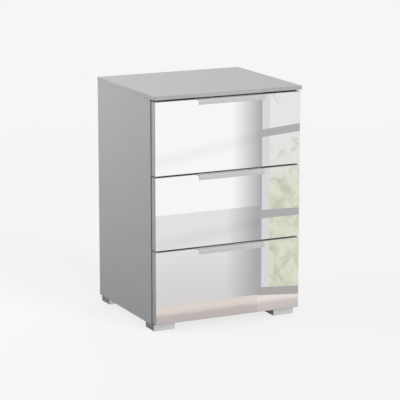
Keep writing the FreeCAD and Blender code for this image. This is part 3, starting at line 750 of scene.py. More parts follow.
class PieceTree:
    """A geometry tree that makes one fitting and stands it on every seat."""

    name: str
    sizes: tuple[str, ...]

    def __init__(self) -> None:
        """Make the tree, with a named input in metres for each size."""
        self.tree = bpy.data.node_groups.new(self.name, "GeometryNodeTree")
        inputs = {"Seats": "Geometry", **dict.fromkeys(self.sizes, "Float"), "Finish": "Material"}
        for name, kind in inputs.items():
            self.tree.interface.new_socket(name, in_out="INPUT", socket_type=f"NodeSocket{kind}")
        self.tree.interface.new_socket("Fittings", in_out="OUTPUT", socket_type="NodeSocketGeometry")
        self.given = self.add("NodeGroupInput")
        self.stand(self.shape(*(self.given[name] for name in self.sizes)))

    def shape(self, *sizes: Wire) -> Wire:
        """Add the nodes of one fitting, seated at the origin and pointing up, from its sizes."""
        raise NotImplementedError

    def measure(self, piece: Turned) -> tuple[float, ...]:
        """Read the sizes of one fitting, in the order of the inputs."""
        raise NotImplementedError

    def add(self, kind: str, inputs: Inputs | None = None, **settings: object) -> Wire:
        """Add a node to this tree."""
        return add(self.tree, kind, inputs, **settings)

    def lift(self, shape: Wire, height: Size) -> Wire:
        """Move a shape up the axis."""
        place = self.add("ShaderNodeCombineXYZ", {"Z": height})
        return self.add("GeometryNodeTransform", {"Geometry": shape, "Translation": place})

    def stand(self, shape: Wire) -> None:
        """Stand the shape on the seats, along their aims, and end the tree.

        Args:
            shape: The shape of one fitting.
        """
        aim = self.add("GeometryNodeInputNamedAttribute", {"Name": AIM}, data_type="FLOAT_VECTOR")
        turn = self.add("FunctionNodeAlignRotationToVector", {"Vector": aim}, axis="Z")
        smooth = self.add("GeometryNodeSetShadeSmooth", {"Geometry": shape, "Shade Smooth": True})
        angle = self.add("GeometryNodeInputMeshEdgeAngle")["Unsigned Angle"]
        sharp = self.add("ShaderNodeMath", {0: angle, 1: SHARP_ANGLE}, operation="GREATER_THAN")
        edged = self.add("GeometryNodeSetShadeSmooth", {
            "Geometry": smooth, "Selection": sharp, "Shade Smooth": False}, domain="EDGE")
        stood = self.add("GeometryNodeInstanceOnPoints", {
            "Points": self.given["Seats"], "Instance": edged, "Rotation": turn})
        plain = self.add("GeometryNodeRealizeInstances", {"Geometry": stood})
        dressed = self.add("GeometryNodeSetMaterial", {"Geometry": plain, "Material": self.given["Finish"]})
        self.add("NodeGroupOutput", {"Fittings": dressed})

    def grow(self, seats: list[Turned], sizes: tuple[float, ...], finish: Finish) -> Mesh:
        """Run the tree on seats that have the same sizes.

        Args:
            seats: Where the fittings stand and point.
            sizes: Their sizes, in the order of the inputs.
            finish: Their finish.

        Returns:
            One plain mesh of them all.
        """
        points = bpy.data.meshes.new("seats")
        points.from_pydata([seat.seat for seat in seats], [], [])
        aims = points.attributes.new(AIM, "FLOAT_VECTOR", "POINT")
        aims.data.foreach_set("vector", [part for seat in seats for part in seat.aim])
        host = put("seats", points)
        modifier = host.modifiers.new("fittings", "NODES")
        modifier.node_group = self.tree
        values = {**dict(zip(self.sizes, sizes)), "Finish": finish.material()}
        for socket in self.tree.interface.items_tree:
            if socket.name in values:
                modifier[socket.identifier] = values[socket.name]
        graph = bpy.context.evaluated_depsgraph_get()
        mesh = bpy.data.meshes.new_from_object(host.evaluated_get(graph), depsgraph=graph)
        bpy.data.objects.remove(host)
        return mesh

    def make(self, pieces: list[Turned], finish: Finish) -> list[Mesh]:
        """Make fittings of any sizes.

        Args:
            pieces: The turned solids that they stand for.
            finish: Their finish.

        Returns:
            One mesh for each set of sizes.
        """
        alike: dict[tuple[float, ...], list[Turned]] = {}
        for piece in pieces:
            alike.setdefault(self.measure(piece), []).append(piece)
        return [self.grow(seats, sizes, finish) for sizes, seats in alike.items()]


class ThreadedTree(PieceTree):
    """What screws and bolts share: rods, a coarse thread and a cross recess."""

    sides = 20
    turn_steps = 14
    ridge_sides = 4
    # Core and pitch as shares of the thread's outer radius, and the recess as shares of the head's radius
    core = 0.68
    pitch = 1.0
    recess_length = 1.15
    recess_width = 0.24

    def rod(self, first: Size, last: Size, start: Size, run: Size) -> Wire:
        """Add a round rod or taper.

        Args:
            first: Radius where it starts.
            last: Radius where it ends.
            start: Distance of its start from the seat.
            run: Its length.

        Returns:
            Its shape.
        """
        rod = self.add("GeometryNodeMeshCone", {
            "Vertices": self.sides, "Radius Bottom": first, "Radius Top": last, "Depth": run})
        return self.lift(rod, start)

    def thread(self, radius: Wire, start: Wire, run: Wire) -> Wire:
        """Add a thread, without its core.

        Args:
            radius: Outer radius.
            start: Distance of its start from the seat.
            run: Its length.

        Returns:
            Its shape.
        """
        core, pitch = (self.add("ShaderNodeMath", {0: radius, 1: share}, operation="MULTIPLY")
                       for share in (self.core, self.pitch))
        turns = self.add("ShaderNodeMath", {0: run, 1: pitch}, operation="DIVIDE")
        height = self.add("ShaderNodeMath", {0: radius, 1: core}, operation="SUBTRACT")
        path = self.add("GeometryNodeCurveSpiral", {
            "Resolution": self.turn_steps, "Rotations": turns, "Start Radius": core, "End Radius": core,
            "Height": run})
        level = self.add("GeometryNodeSetCurveNormal", {"Curve": path}, mode="Z_UP")
        ridge = self.add("GeometryNodeCurvePrimitiveCircle", {
            "Resolution": self.ridge_sides, "Radius": height})
        wound = self.add("GeometryNodeCurveToMesh", {
            "Curve": level, "Profile Curve": ridge, "Fill Caps": True})
        return self.lift(wound, start)

    def recessed(self, parts: list[Wire], radius: Wire, depth: Wire) -> Wire:
        """Unite the parts of a fitting as one skin, and cut its cross recess.

        Args:
            parts: Overlapping parts.
            radius: Radius of its head.
            depth: Depth of the recess.

        Returns:
            Its shape.
        """
        whole = self.add("GeometryNodeMeshBoolean", {1: parts}, operation="UNION", solver="MANIFOLD")
        length, width = (self.add("ShaderNodeMath", {0: radius, 1: share}, operation="MULTIPLY")
                         for share in (self.recess_length, self.recess_width))
        # A bar is centred on the seat, so half of it is in the head
        height = self.add("ShaderNodeMath", {0: depth, 1: 2.0}, operation="MULTIPLY")
        bars = []
        for x, y in ((length, width), (width, length)):
            size = self.add("ShaderNodeCombineXYZ", {"X": x, "Y": y, "Z": height})
            bars.append(self.add("GeometryNodeMeshCube", {"Size": size}))
        return self.add("GeometryNodeMeshBoolean", {"Mesh 1": whole, "Mesh 2": bars}, operation="DIFFERENCE",
                        solver="MANIFOLD")


class HeadShape(Enum):
    """How a screw's head sits."""

    COUNTERSUNK = "countersunk"
    PAN = "pan"

    @classmethod
    def of(cls, screw: Turned) -> "HeadShape":
        """Read the head of one screw: a pan head keeps its full radius down to the shank."""
        head_depth, _, _ = screw.plain_run()
        return cls.PAN if screw.radii(head_depth)[-1] > screw.radius - TOUCH else cls.COUNTERSUNK


class ScrewTree(ThreadedTree):
    """Chipboard screw: a head with a cross recess, a core, a coarse thread and a point."""

    sizes = ("Head Radius", "Head Depth", "Shank Radius", "Length")
    # The point's length as a share of the shank's radius, and the radius of its end as a share of the core's
    point = 1.6
    point_end = 0.1
    # Shares of the head's depth and radius
    recess_depth = 0.62
    crown = 0.8

    def __init__(self, head: HeadShape) -> None:
        """Make the tree.

        Args:
            head: Shape of the head.
        """
        self.head = head
        self.name = f"{head.value}_screw"
        super().__init__()

    def measure(self, piece: Turned) -> tuple[float, ...]:
        """Read head, shank and length."""
        head_depth, _, shank = piece.plain_run()
        return piece.radius, head_depth, shank, piece.length

    def shape(self, radius: Wire, depth: Wire, shank: Wire, length: Wire) -> Wire:
        """Add the nodes of one screw.

        Args:
            radius: Radius of the head.
            depth: Depth of the head.
            shank: Outer radius of the thread.
            length: Length with the head.

        Returns:
            Its shape.
        """
        core, point = (self.add("ShaderNodeMath", {0: shank, 1: share}, operation="MULTIPLY")
                       for share in (self.core, self.point))
        half, recess = (self.add("ShaderNodeMath", {0: depth, 1: share}, operation="MULTIPLY")
                        for share in (0.5, self.recess_depth))
        point_end = self.add("ShaderNodeMath", {0: core, 1: self.point_end}, operation="MULTIPLY")
        point_start = self.add("ShaderNodeMath", {0: length, 1: point}, operation="SUBTRACT")
        core_run, thread_run = (self.add("ShaderNodeMath", {0: point_start, 1: start}, operation="SUBTRACT")
                                for start in (half, depth))
        if self.head is HeadShape.COUNTERSUNK:
            head = [self.rod(radius, core, 0.0, depth)]
        else:
            crown = self.add("ShaderNodeMath", {0: radius, 1: self.crown}, operation="MULTIPLY")
            head = [self.rod(crown, radius, 0.0, half), self.rod(radius, radius, half, half)]
        parts = [
            *head,
            self.rod(core, core, half, core_run),
            self.rod(core, point_end, point_start, point),
            self.thread(shank, depth, thread_run),
        ]
        return self.recessed(parts, radius, recess)


class CamBoltTree(ThreadedTree):
    """Cam bolt: a head and neck that the cam grips, a smooth shank, and a thread that bites into a board."""

    name = "cam_bolt"
    sizes = ("Head Radius", "Head Length", "Neck Radius", "Neck End", "Shank End", "Thread Radius", "Length")
    # Share of the head's length
    recess_depth = 0.5
    # Overlap of neighbouring rods, so that they join as one
    lap = 0.0005

    def measure(self, piece: Turned) -> tuple[float, ...]:
        """Read head, neck, shank and thread.

        Args:
            piece: The solid that the bolt stands for.

        Returns:
            Its sizes, in the order of the inputs.
        """
        neck, end = min(radius for _, radius in piece.rings), piece.radii(piece.length)[-1]
        grip = [distance for distance, radius in piece.rings if radius == neck]
        _, shank_end, _ = piece.plain_run()
        return piece.radius, grip[0], neck, grip[-1], shank_end, end, piece.length

    def shape(self, radius: Wire, head: Wire, neck: Wire, neck_end: Wire, shank_end: Wire, thread: Wire,
              length: Wire) -> Wire:
        """Add the nodes of one bolt.

        Args:
            radius: Radius of the head and the shank.
            head: Length of the head.
            neck: Radius of the neck.
            neck_end: Distance of the neck's end from the seat.
            shank_end: Distance of the shank's end from the seat.
            thread: Outer radius of the thread.
            length: Length of it all.

        Returns:
            Its shape.
        """
        core = self.add("ShaderNodeMath", {0: thread, 1: self.core}, operation="MULTIPLY")
        recess = self.add("ShaderNodeMath", {0: head, 1: self.recess_depth}, operation="MULTIPLY")
        neck_start, core_start = (self.add("ShaderNodeMath", {0: end, 1: self.lap}, operation="SUBTRACT")
                                  for end in (head, shank_end))
        grip, shank, run, ridge = (
            self.add("ShaderNodeMath", {0: last, 1: first}, operation="SUBTRACT")
            for first, last in ((head, neck_end), (neck_end, shank_end), (shank_end, length), (core, thread)))
        neck_run = self.add("ShaderNodeMath", {0: grip, 1: 2.0 * self.lap}, operation="ADD")
        core_run = self.add("ShaderNodeMath", {0: run, 1: self.lap}, operation="ADD")
        # The thread stops short of the end by its own ridge
        thread_run = self.add("ShaderNodeMath", {0: run, 1: ridge}, operation="SUBTRACT")
        parts = [
            self.rod(radius, radius, 0.0, head),
            self.rod(neck, neck, neck_start, neck_run),
            self.rod(radius, radius, neck_end, shank),
            self.rod(core, core, core_start, core_run),
            self.thread(thread, shank_end, thread_run),
        ]
        return self.recessed(parts, radius, recess)


class RollerTree(PieceTree):
    """Nylon runner roller: a rounded tyre on a thin web, stiffened by ribs round a hub."""

    name = "runner_roller"
    sizes = ("Radius", "Bore Radius", "Width", "Chamfer")
    steps = 48
    ribs = 6
    # Shares of the radius, the bore and the width, as on common runner rollers
    tyre_inner = 0.74
    hub_outer = 1.6
    web_width = 0.4
    rib_width = 0.75
    rib_thickness = 0.14
    # Share of the gap between hub and tyre that the web and the ribs go on into them
    root = 1.0 / 3.0
    # Roundings as shares of the chamfer, of which the tyre's stays inside the chamfer
    tyre_rounding = 1.75
    hub_rounding = 0.5
    web_rounding = 0.1
    rounding_steps = 3

    def measure(self, piece: Turned) -> tuple[float, ...]:
        """Read tread, bore, width and chamfer."""
        bore, flank = piece.radii(0.0)
        return piece.radius, bore, piece.length, piece.radius - flank

    def ring(self, inner: Wire, outer: Wire, width: Wire, rounding: Wire) -> Wire:
        """Add a ring about the axis.

        Args:
            inner: Inner radius.
            outer: Outer radius.
            width: Width along the axis.
            rounding: Radius of its four edges.

        Returns:
            Its shape.
        """
        height = self.add("ShaderNodeMath", {0: outer, 1: inner}, operation="SUBTRACT")
        middle = self.add("ShaderNodeMath", {0: height, 1: 0.5, 2: inner}, operation="MULTIPLY_ADD")
        path = self.add("GeometryNodeCurvePrimitiveCircle", {"Resolution": self.steps, "Radius": middle})
        level = self.add("GeometryNodeSetCurveNormal", {"Curve": path}, mode="Z_UP")
        section = self.add("GeometryNodeCurvePrimitiveQuadrilateral", {"Width": height, "Height": width})
        soft = self.add("GeometryNodeFilletCurve", {
            "Curve": section, "Count": self.rounding_steps, "Radius": rounding}, mode="POLY")
        return self.add("GeometryNodeCurveToMesh", {"Curve": level, "Profile Curve": soft})

    def shape(self, radius: Wire, bore: Wire, width: Wire, chamfer: Wire) -> Wire:
        """Add the nodes of one roller.

        Args:
            radius: Radius of the tread.
            bore: Radius of the bore.
            width: Width along the axis.
            chamfer: Chamfer of the tread's edges.

        Returns:
            Its shape.
        """
        tyre = self.add("ShaderNodeMath", {0: radius, 1: self.tyre_inner}, operation="MULTIPLY")
        hub = self.add("ShaderNodeMath", {0: bore, 1: self.hub_outer}, operation="MULTIPLY")
        web_width, rib_width, rib_thickness, half = (
            self.add("ShaderNodeMath", {0: width, 1: share}, operation="MULTIPLY")
            for share in (self.web_width, self.rib_width, self.rib_thickness, 0.5))
        tyre_rounding, hub_rounding, web_rounding = (
            self.add("ShaderNodeMath", {0: chamfer, 1: share}, operation="MULTIPLY")
            for share in (self.tyre_rounding, self.hub_rounding, self.web_rounding))
        gap = self.add("ShaderNodeMath", {0: tyre, 1: hub}, operation="SUBTRACT")
        root = self.add("ShaderNodeMath", {0: gap, 1: self.root}, operation="MULTIPLY")
        web_inner = self.add("ShaderNodeMath", {0: hub, 1: root}, operation="SUBTRACT")
        web_outer, rib_length = (self.add("ShaderNodeMath", {0: size, 1: root}, operation="ADD")
                                 for size in (tyre, gap))
        rib_middle = self.add("ShaderNodeMath", {0: gap, 1: 0.5, 2: hub}, operation="MULTIPLY_ADD")
        parts = [
            self.ring(tyre, radius, width, tyre_rounding),
            self.ring(web_inner, web_outer, web_width, web_rounding),
            self.ring(bore, hub, width, hub_rounding),
        ]
        size = self.add("ShaderNodeCombineXYZ", {"X": rib_length, "Y": rib_thickness, "Z": rib_width})
        place = self.add("ShaderNodeCombineXYZ", {"X": rib_middle})
        rib = self.add("GeometryNodeTransform", {
            "Geometry": self.add("GeometryNodeMeshCube", {"Size": size}), "Translation": place})
        for turn in range(self.ribs):
            angle = (0.0, 0.0, math.tau * turn / self.ribs)
            parts.append(self.add("GeometryNodeTransform", {"Geometry": rib, "Rotation": angle}))
        whole = self.add("GeometryNodeMeshBoolean", {1: parts}, operation="UNION", solver="MANIFOLD")
        return self.lift(whole, half)


class DowelTree(PieceTree):
    """Fluted dowel with chamfered ends: the flutes let glue and air past."""

    name = "fluted_dowel"
    sizes = ("Radius", "Length", "Chamfer")
    flutes = 16
    # Depth of a flute as a share of the radius
    flute_depth = 0.08

    def measure(self, piece: Turned) -> tuple[float, ...]:
        """Read radius, length and chamfer."""
        return piece.radius, piece.length, piece.plain_run()[0]

    def shape(self, radius: Wire, length: Wire, chamfer: Wire) -> Wire:
        """Add the nodes of one dowel.

        Args:
            radius: Outer radius.
            length: Length of it all.
            chamfer: Chamfer of its ends.

        Returns:
            Its shape.
        """
        end = self.add("ShaderNodeCombineXYZ", {"Z": length})
        line = self.add("GeometryNodeCurvePrimitiveLine", {"End": end})
        path = self.add("GeometryNodeResampleCurve", {"Curve": line, "Length": chamfer}, mode="LENGTH")
        along = self.add("GeometryNodeSplineParameter")["Length"]
        left = self.add("ShaderNodeMath", {0: length, 1: along}, operation="SUBTRACT")
        near = self.add("ShaderNodeMath", {0: along, 1: left}, operation="MINIMUM")
        lost = self.add("ShaderNodeMath", {0: chamfer, 1: radius}, operation="DIVIDE")
        least = self.add("ShaderNodeMath", {0: 1.0, 1: lost}, operation="SUBTRACT")
        swell = self.add("ShaderNodeMapRange", {
            "Value": near, "From Max": chamfer, "To Min": least, "To Max": 1.0})
        inner = self.add("ShaderNodeMath", {0: radius, 1: 1.0 - self.flute_depth}, operation="MULTIPLY")
        star = self.add("GeometryNodeCurveStar", {
            "Points": self.flutes, "Outer Radius": radius, "Inner Radius": inner})
        return self.add("GeometryNodeCurveToMesh", {
            "Curve": path, "Profile Curve": star, "Scale": swell, "Fill Caps": True})


class Hardware:
    """Bought fittings: stands detailed ones in place of a node's plain ones."""

    # A solid whose end is finer than this has a point, so it is a screw
    point_radius = 0.5 * MM

    def __init__(self) -> None:
        """Make the tree of each fitting."""
        self.screws = {head: ScrewTree(head) for head in HeadShape}
        self.cam_bolts = CamBoltTree()
        self.rollers = RollerTree()
        self.dowels = DowelTree()

    def stand(self, node: str, name: str, slot: str, meshes: list[Mesh]) -> None:
        """Join meshes as the one piece that stands for a node.

        Args:
            node: The node.
            name: The piece's name.
            slot: The record's slot for its finish; not used.
            meshes: The meshes, each with one material.
        """
        shape = bmesh.new()
        materials: list[bpy.types.Material] = []
        for mesh in meshes:
            done = len(shape.faces)
            shape.from_mesh(mesh)
            shape.faces.ensure_lookup_table()
            # United shapes leave an empty slot ahead of their finish
            material = mesh.materials[-1]
            if material not in materials:
                materials.append(material)
            for face in shape.faces[done:]:
                face.material_index = materials.index(material)
        whole = bpy.data.meshes.new(name)
        shape.to_mesh(whole)
        shape.free()
        for material in materials:
            whole.materials.append(material)
        piece = put(name, whole)
        bodies = frame["record"]["behaviour"]["bodies"]
        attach(piece, next(body for body, members in bodies.items() if node in members))
        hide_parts(node)
        log.info("%s: %d faces in %s", name, len(whole.polygons), ", ".join(m.name for m in materials))

    def fasten(self, *nodes: str) -> None:
        """Make screws, cam bolts and cams again.

        Args:
            nodes: Nodes that hold only those.
        """
        for node in nodes:
            screws: dict[HeadShape, list[Turned]] = {head: [] for head in HeadShape}
            bolts: list[Turned] = []
            meshes = []
            for solid in solids_of(node):
                piece = solid.turned()
                # A cam is wider than it is long
                if piece.length < 2.0 * piece.radius:
                    meshes.append(solid.mesh(ZINC_CAST))
                elif piece.radii(piece.length)[-1] < self.point_radius:
                    screws[HeadShape.of(piece)].append(piece)
                else:
                    bolts.append(piece)
            for head, pieces in screws.items():
                meshes.extend(self.screws[head].make(pieces, ZINC_PLATE))
            meshes.extend(self.cam_bolts.make(bolts, ZINC_PLATE))
            self.stand(node, f"threaded_{node}", "zinc_steel", meshes)

    def peg(self, node: str) -> None:
        """Make a node's dowels again."""
        dowels = self.dowels.make([solid.turned() for solid in solids_of(node)], BEECH)
        self.stand(node, f"fluted_{node}", "beech", dowels)

    def roll(self, node: str) -> None:
        """Make a node's rollers again."""
        rollers = self.rollers.make([solid.turned() for solid in solids_of(node)], NYLON)
        self.stand(node, f"ribbed_{node}", "nylon", rollers)


@dataclass
class Carcass:
    """Boards, feet, rails and fasteners that stand still."""

    hardware: Hardware

    def build(self) -> None:
        """Give the fasteners their threads and flutes."""
        self.hardware.fasten("cam_bolts", "top_screws", "back_panel_screws", "foot_screws", "runner_screws")
        self.hardware.peg("carcass_dowels")

    def dress(self) -> None:
        """Give every node of the carcass its finish."""
        SilverMelamine("top_panel").dress("top_panel")
        for side in SIDES:
            board = f"side_panel_{side}"
            SilverMelamine(board, bare=(Face.BACK, Face.UNDER)).dress(board)
        for board in ("bottom_panel", "front_rail", "rear_rail"):
            SilverMelamine(board, bare=(Face.BACK,)).dress(board)
        BACK_HARDBOARD.dress("back_panel")
        FOOT_PLASTIC.dress(*(f"foot_{row}_{side}" for row in FOOT_ROWS for side in SIDES))
        POWDER.dress(*(f"cabinet_runner_{side}_{level}" for side in SIDES for level in LEVELS))
        ZINC_CAST.dress("cam_locks")


@dataclass
class Drawer:
    """One drawer: its front, mirror and pull, its box, its rails and its rollers."""

    level: str
    hardware: Hardware

    def build(self) -> None:
        """Give the fasteners their threads and the rollers their webs."""
        self.hardware.fasten(f"drawer_fixings_{self.level}")
        for carrier in ("drawer", "cabinet"):
            self.hardware.roll(f"{carrier}_rollers_{self.level}")

    def dress(self) -> None:
        """Give every node of the drawer its finish."""
        level = self.level
        SilverMelamine(f"drawer_front_{level}").dress(f"drawer_front_{level}")
        MIRROR.dress(f"mirror_{level}")
        ALUMINIUM.dress(f"handle_{level}")
        # The mirrors show no ghost of the pulls
        frame["nodes"][f"handle_{level}"].visible_glossy = False
        for board in (f"drawer_side_left_{level}", f"drawer_side_right_{level}", f"drawer_back_{level}"):
            DrawerFoil(board).dress(board)
        DRAWER_HARDBOARD.dress(f"drawer_bottom_{level}")
        POWDER.dress(*(f"drawer_runner_{side}_{level}" for side in SIDES))


def direction(azimuth: float, elevation: float) -> Vector:
    """Unit direction out from the chest, in degrees right of straight in front and degrees above level."""
    turn, rise = math.radians(azimuth), math.radians(elevation)
    return Vector((math.sin(turn) * math.cos(rise), -math.cos(turn) * math.cos(rise), math.sin(rise)))


@dataclass(frozen=True)
class FarLamp:
    """A wide soft lamp, too far off for its light to fall away across the chest. Angles are degrees."""

    name: str
    azimuth: float
    elevation: float
    width: float
    strength: float

    def build(self) -> None:
        """Make the lamp, pointing at the chest."""
        light = bpy.data.lights.new(self.name, "SUN")
        light.energy = self.strength
        light.angle = math.radians(self.width)
        lamp = put(self.name, light)
        lamp.rotation_euler = direction(self.azimuth, self.elevation).to_track_quat("Z", "Y").to_euler()
        lamp.visible_glossy = False


@dataclass(frozen=True)
class Softbox:
    """A square soft lamp near the left side, with its light in watts."""

    name: str = "softbox"
    place: Place = (-1.5, 0.5, 1.15)
    aim: Place = (-0.2, 0.0, 0.45)
    size: float = 0.8
    power: float = 15.5

    def build(self) -> None:
        """Make the lamp, pointing at its aim."""
        light = bpy.data.lights.new(self.name, "AREA")
        light.energy = self.power
        light.size = self.size
        lamp = put(self.name, light)
        lamp.location = self.place
        lamp.rotation_euler = (Vector(self.place) - Vector(self.aim)).to_track_quat("Z", "Y").to_euler()
        lamp.visible_glossy = False


@dataclass(frozen=True)
class PhotoCamera:
    """Camera at the photograph's viewing angle, without shift. Angles are degrees, the sensor millimetres."""

    azimuth: float = -25.762
    elevation: float = 12.259
    distance: float = 4.999
    aim: Place = (-0.0001, -0.0021, 0.2847)
    focal_widths: float = 4.943
    sensor: float = 36.0

    @property
    def eye(self) -> Vector:
        """Where the camera stands."""
        return Vector(self.aim) + direction(self.azimuth, self.elevation) * self.distance

    def build(self) -> None:
        """Make the camera and give it to the scene."""
        lens = bpy.data.cameras.new("camera")
        lens.sensor_width = self.sensor
        lens.lens = self.sensor * self.focal_widths
        camera = put("camera", lens)
        camera.location = self.eye
        camera.rotation_mode = "QUATERNION"
        camera.rotation_quaternion = direction(self.azimuth, self.elevation).to_track_quat("Z", "Y")
        bpy.context.scene.camera = camera


@dataclass(frozen=True)
class EvenLight:
    """The same light all over a flat."""

    tone: str

    def colour(self, place: Wire) -> Colour:
        """Linear colour of the light, at any place."""
        return linear(self.tone)


@dataclass(frozen=True)
class FadingLight:
    """Light that dims towards the right and the bottom, with one soft slanting darker streak: painted shade.
    """

    tone: str
    dim: str
    fade: Span
    foot: Span
    foot_tone: str
    streak_height: float
    streak_slope: float
    streak_width: float = 24.0
    streak_depth: float = 0.07

    def colour(self, place: Wire) -> Wire:
        """Build the colour over the flat.

        Args:
            place: Millimetres across and up the mirrors.

        Returns:
            The colour.
        """
        tree = place.tree
        split = add(tree, "ShaderNodeSeparateXYZ", {"Vector": place})
        x, z = split["X"], split["Z"]
        upright = passage(z, (self.foot[1], self.foot[0]), self.tone, self.foot_tone, Ease.SOFT)
        faded = passage(x, self.fade, upright, self.dim, Ease.STRAIGHT)
        streak = add(tree, "ShaderNodeMath", {
            0: x, 1: self.streak_slope, 2: self.streak_height}, operation="MULTIPLY_ADD")
        offset = add(tree, "ShaderNodeMath", {0: z, 1: streak}, operation="SUBTRACT")
        distance = add(tree, "ShaderNodeMath", {0: offset}, operation="ABSOLUTE")
        shade = add(tree, "ShaderNodeMapRange", {
            "Value": distance, "From Max": self.streak_width, "To Min": 1.0 - self.streak_depth,
            "To Max": 1.0}, interpolation_type=Ease.SOFT.value)
        return add(tree, "ShaderNodeMix", {"Factor": 1.0, "A": faded, "B": shade}, **TINT)


@dataclass(frozen=True)
class CloudyLight:
    """Blotched light, pale above, greener and darker below, which turns plain far to the right."""

    upper: str
    lower: str
    blotch: str
    rise: Span
    blotch_size: float
    blotch_detail: float = 6.0
    blotch_roughness: float = 0.6
    blotch_distortion: float = 0.6
    # Level of the pattern where blotches start, below and above, and where they are full
    blotch_starts: Span = (0.42, 0.6)
    blotch_full: float = 0.85
    plain: str = "#E9E9E9"
    plain_fade: Span = (205.0, 300.0)

    def colour(self, place: Wire) -> Wire:
        """Build the colour over the flat.

        Args:
            place: Millimetres across and up the mirrors.

        Returns:
            The colour.
        """
        tree = place.tree
        split = add(tree, "ShaderNodeSeparateXYZ", {"Vector": place})
        clouds = add(tree, "ShaderNodeTexNoise", {
            "Vector": place, "Scale": 1.0 / self.blotch_size, "Detail": self.blotch_detail,
            "Roughness": self.blotch_roughness, "Distortion": self.blotch_distortion})
        lift = add(tree, "ShaderNodeMapRange", {
            "Value": split["Z"], "From Min": self.rise[0], "From Max": self.rise[1]},
            interpolation_type=Ease.SOFT.value)
        base = passage(lift, (0.0, 1.0), self.lower, self.upper, Ease.STRAIGHT)
        low, high = self.blotch_starts
        start = add(tree, "ShaderNodeMix", {"Factor": lift, "A": low, "B": high})
        cloudy = passage(clouds, (start, self.blotch_full), base, self.blotch, Ease.STRAIGHT)
        return passage(split["X"], self.plain_fade, cloudy, self.plain, Ease.SOFT)


@dataclass(frozen=True)
class BandedLight:
    """Light in soft level bands with long streaks in them, which turns pale far left and far down."""

    bands: tuple[tuple[float, str], ...]
    streak_length: float
    streak_width: float
    streak_detail: float = 3.0
    # Greyer near its top edge and whiter far down: a painted shadow fading out across the reflected floor
    pale_upper: str = "#C9CACC"
    pale_lower: str = "#F3F3F3"
    pale_fade: Span = (-330.0, 60.0)
    pale_left: Span = (-650.0, -300.0)
    pale_bottom: Span = (-70.0, 15.0)

    def colour(self, place: Wire) -> Wire:
        """Build the colour over the flat.

        Args:
            place: Millimetres across and up the mirrors.

        Returns:
            The colour.
        """
        tree = place.tree
        split = add(tree, "ShaderNodeSeparateXYZ", {"Vector": place})
        x, z = split["X"], split["Z"]
        stretch = (1.0 / self.streak_length, 1.0, 1.0 / self.streak_width)
        along = add(tree, "ShaderNodeMapping", {"Vector": place, "Scale": stretch})
        streaks = add(tree, "ShaderNodeTexNoise", {
            "Vector": along, "Scale": 1.0, "Detail": self.streak_detail})
        sway = add(tree, "ShaderNodeMix", {
            "Factor": streaks, "A": -self.streak_width, "B": self.streak_width})
        swayed = add(tree, "ShaderNodeMath", {0: z, 1: sway}, operation="ADD")
        low, high = self.bands[0][0], self.bands[-1][0]
        level = add(tree, "ShaderNodeMapRange", {"Value": swayed, "From Min": low, "From Max": high})
        ramp = add(tree, "ShaderNodeValToRGB", {"Fac": level})
        stops = ramp.socket.node.color_ramp.elements
        while len(stops) < len(self.bands):
            stops.new(0.5)
        for stop, (height, tone) in zip(stops, self.bands):
            stop.position = (height - low) / (high - low)
            stop.color = linear(tone)
        pale = passage(z, self.pale_fade, self.pale_lower, self.pale_upper, Ease.STRAIGHT)
        inner = passage(x, self.pale_left, pale, ramp, Ease.SOFT)
        return passage(z, self.pale_bottom, pale, inner, Ease.SOFT)


Light = EvenLight | FadingLight | CloudyLight | BandedLight


@dataclass(frozen=True)
class ReflectionFlat:
    """A luminous flat that only glossy surfaces see, given by where it shows on the mirrors.

    Places are millimetres across and up the plane of the mirrors, as the camera sees them there.
    The top and bottom edges each have a height at the left end and one at the right end.
    """

    name: str
    left: float
    right: float
    bottom: Span
    top: Span
    light: Light

    @property
    def corners(self) -> tuple[Span, ...]:
        """Its corners, across and up the mirrors, all the way round."""
        lower = ((self.left, self.bottom[0]), (self.right, self.bottom[1]))
        return *lower, (self.right, self.top[1]), (self.left, self.top[0])


# The flats paint the reflection that the mirrors show: a pale wall that shades off into a dim corner, a
# window's upright, bars and blotched panes, and bands of floor along the foot
# Edges that flats share, and how far the outer ones go on past what the camera sees
FAR = 2600.0
CORNER = 87.5
UPRIGHT_LEFT = 92.0
PANEL_LEFT = 113.0
BARS_END = 200.0
UPPER_BAR_LEFT = 86.0
MIDDLE_BAR_LEFT = 90.6
LOWER_BAR_LEFT = 80.4
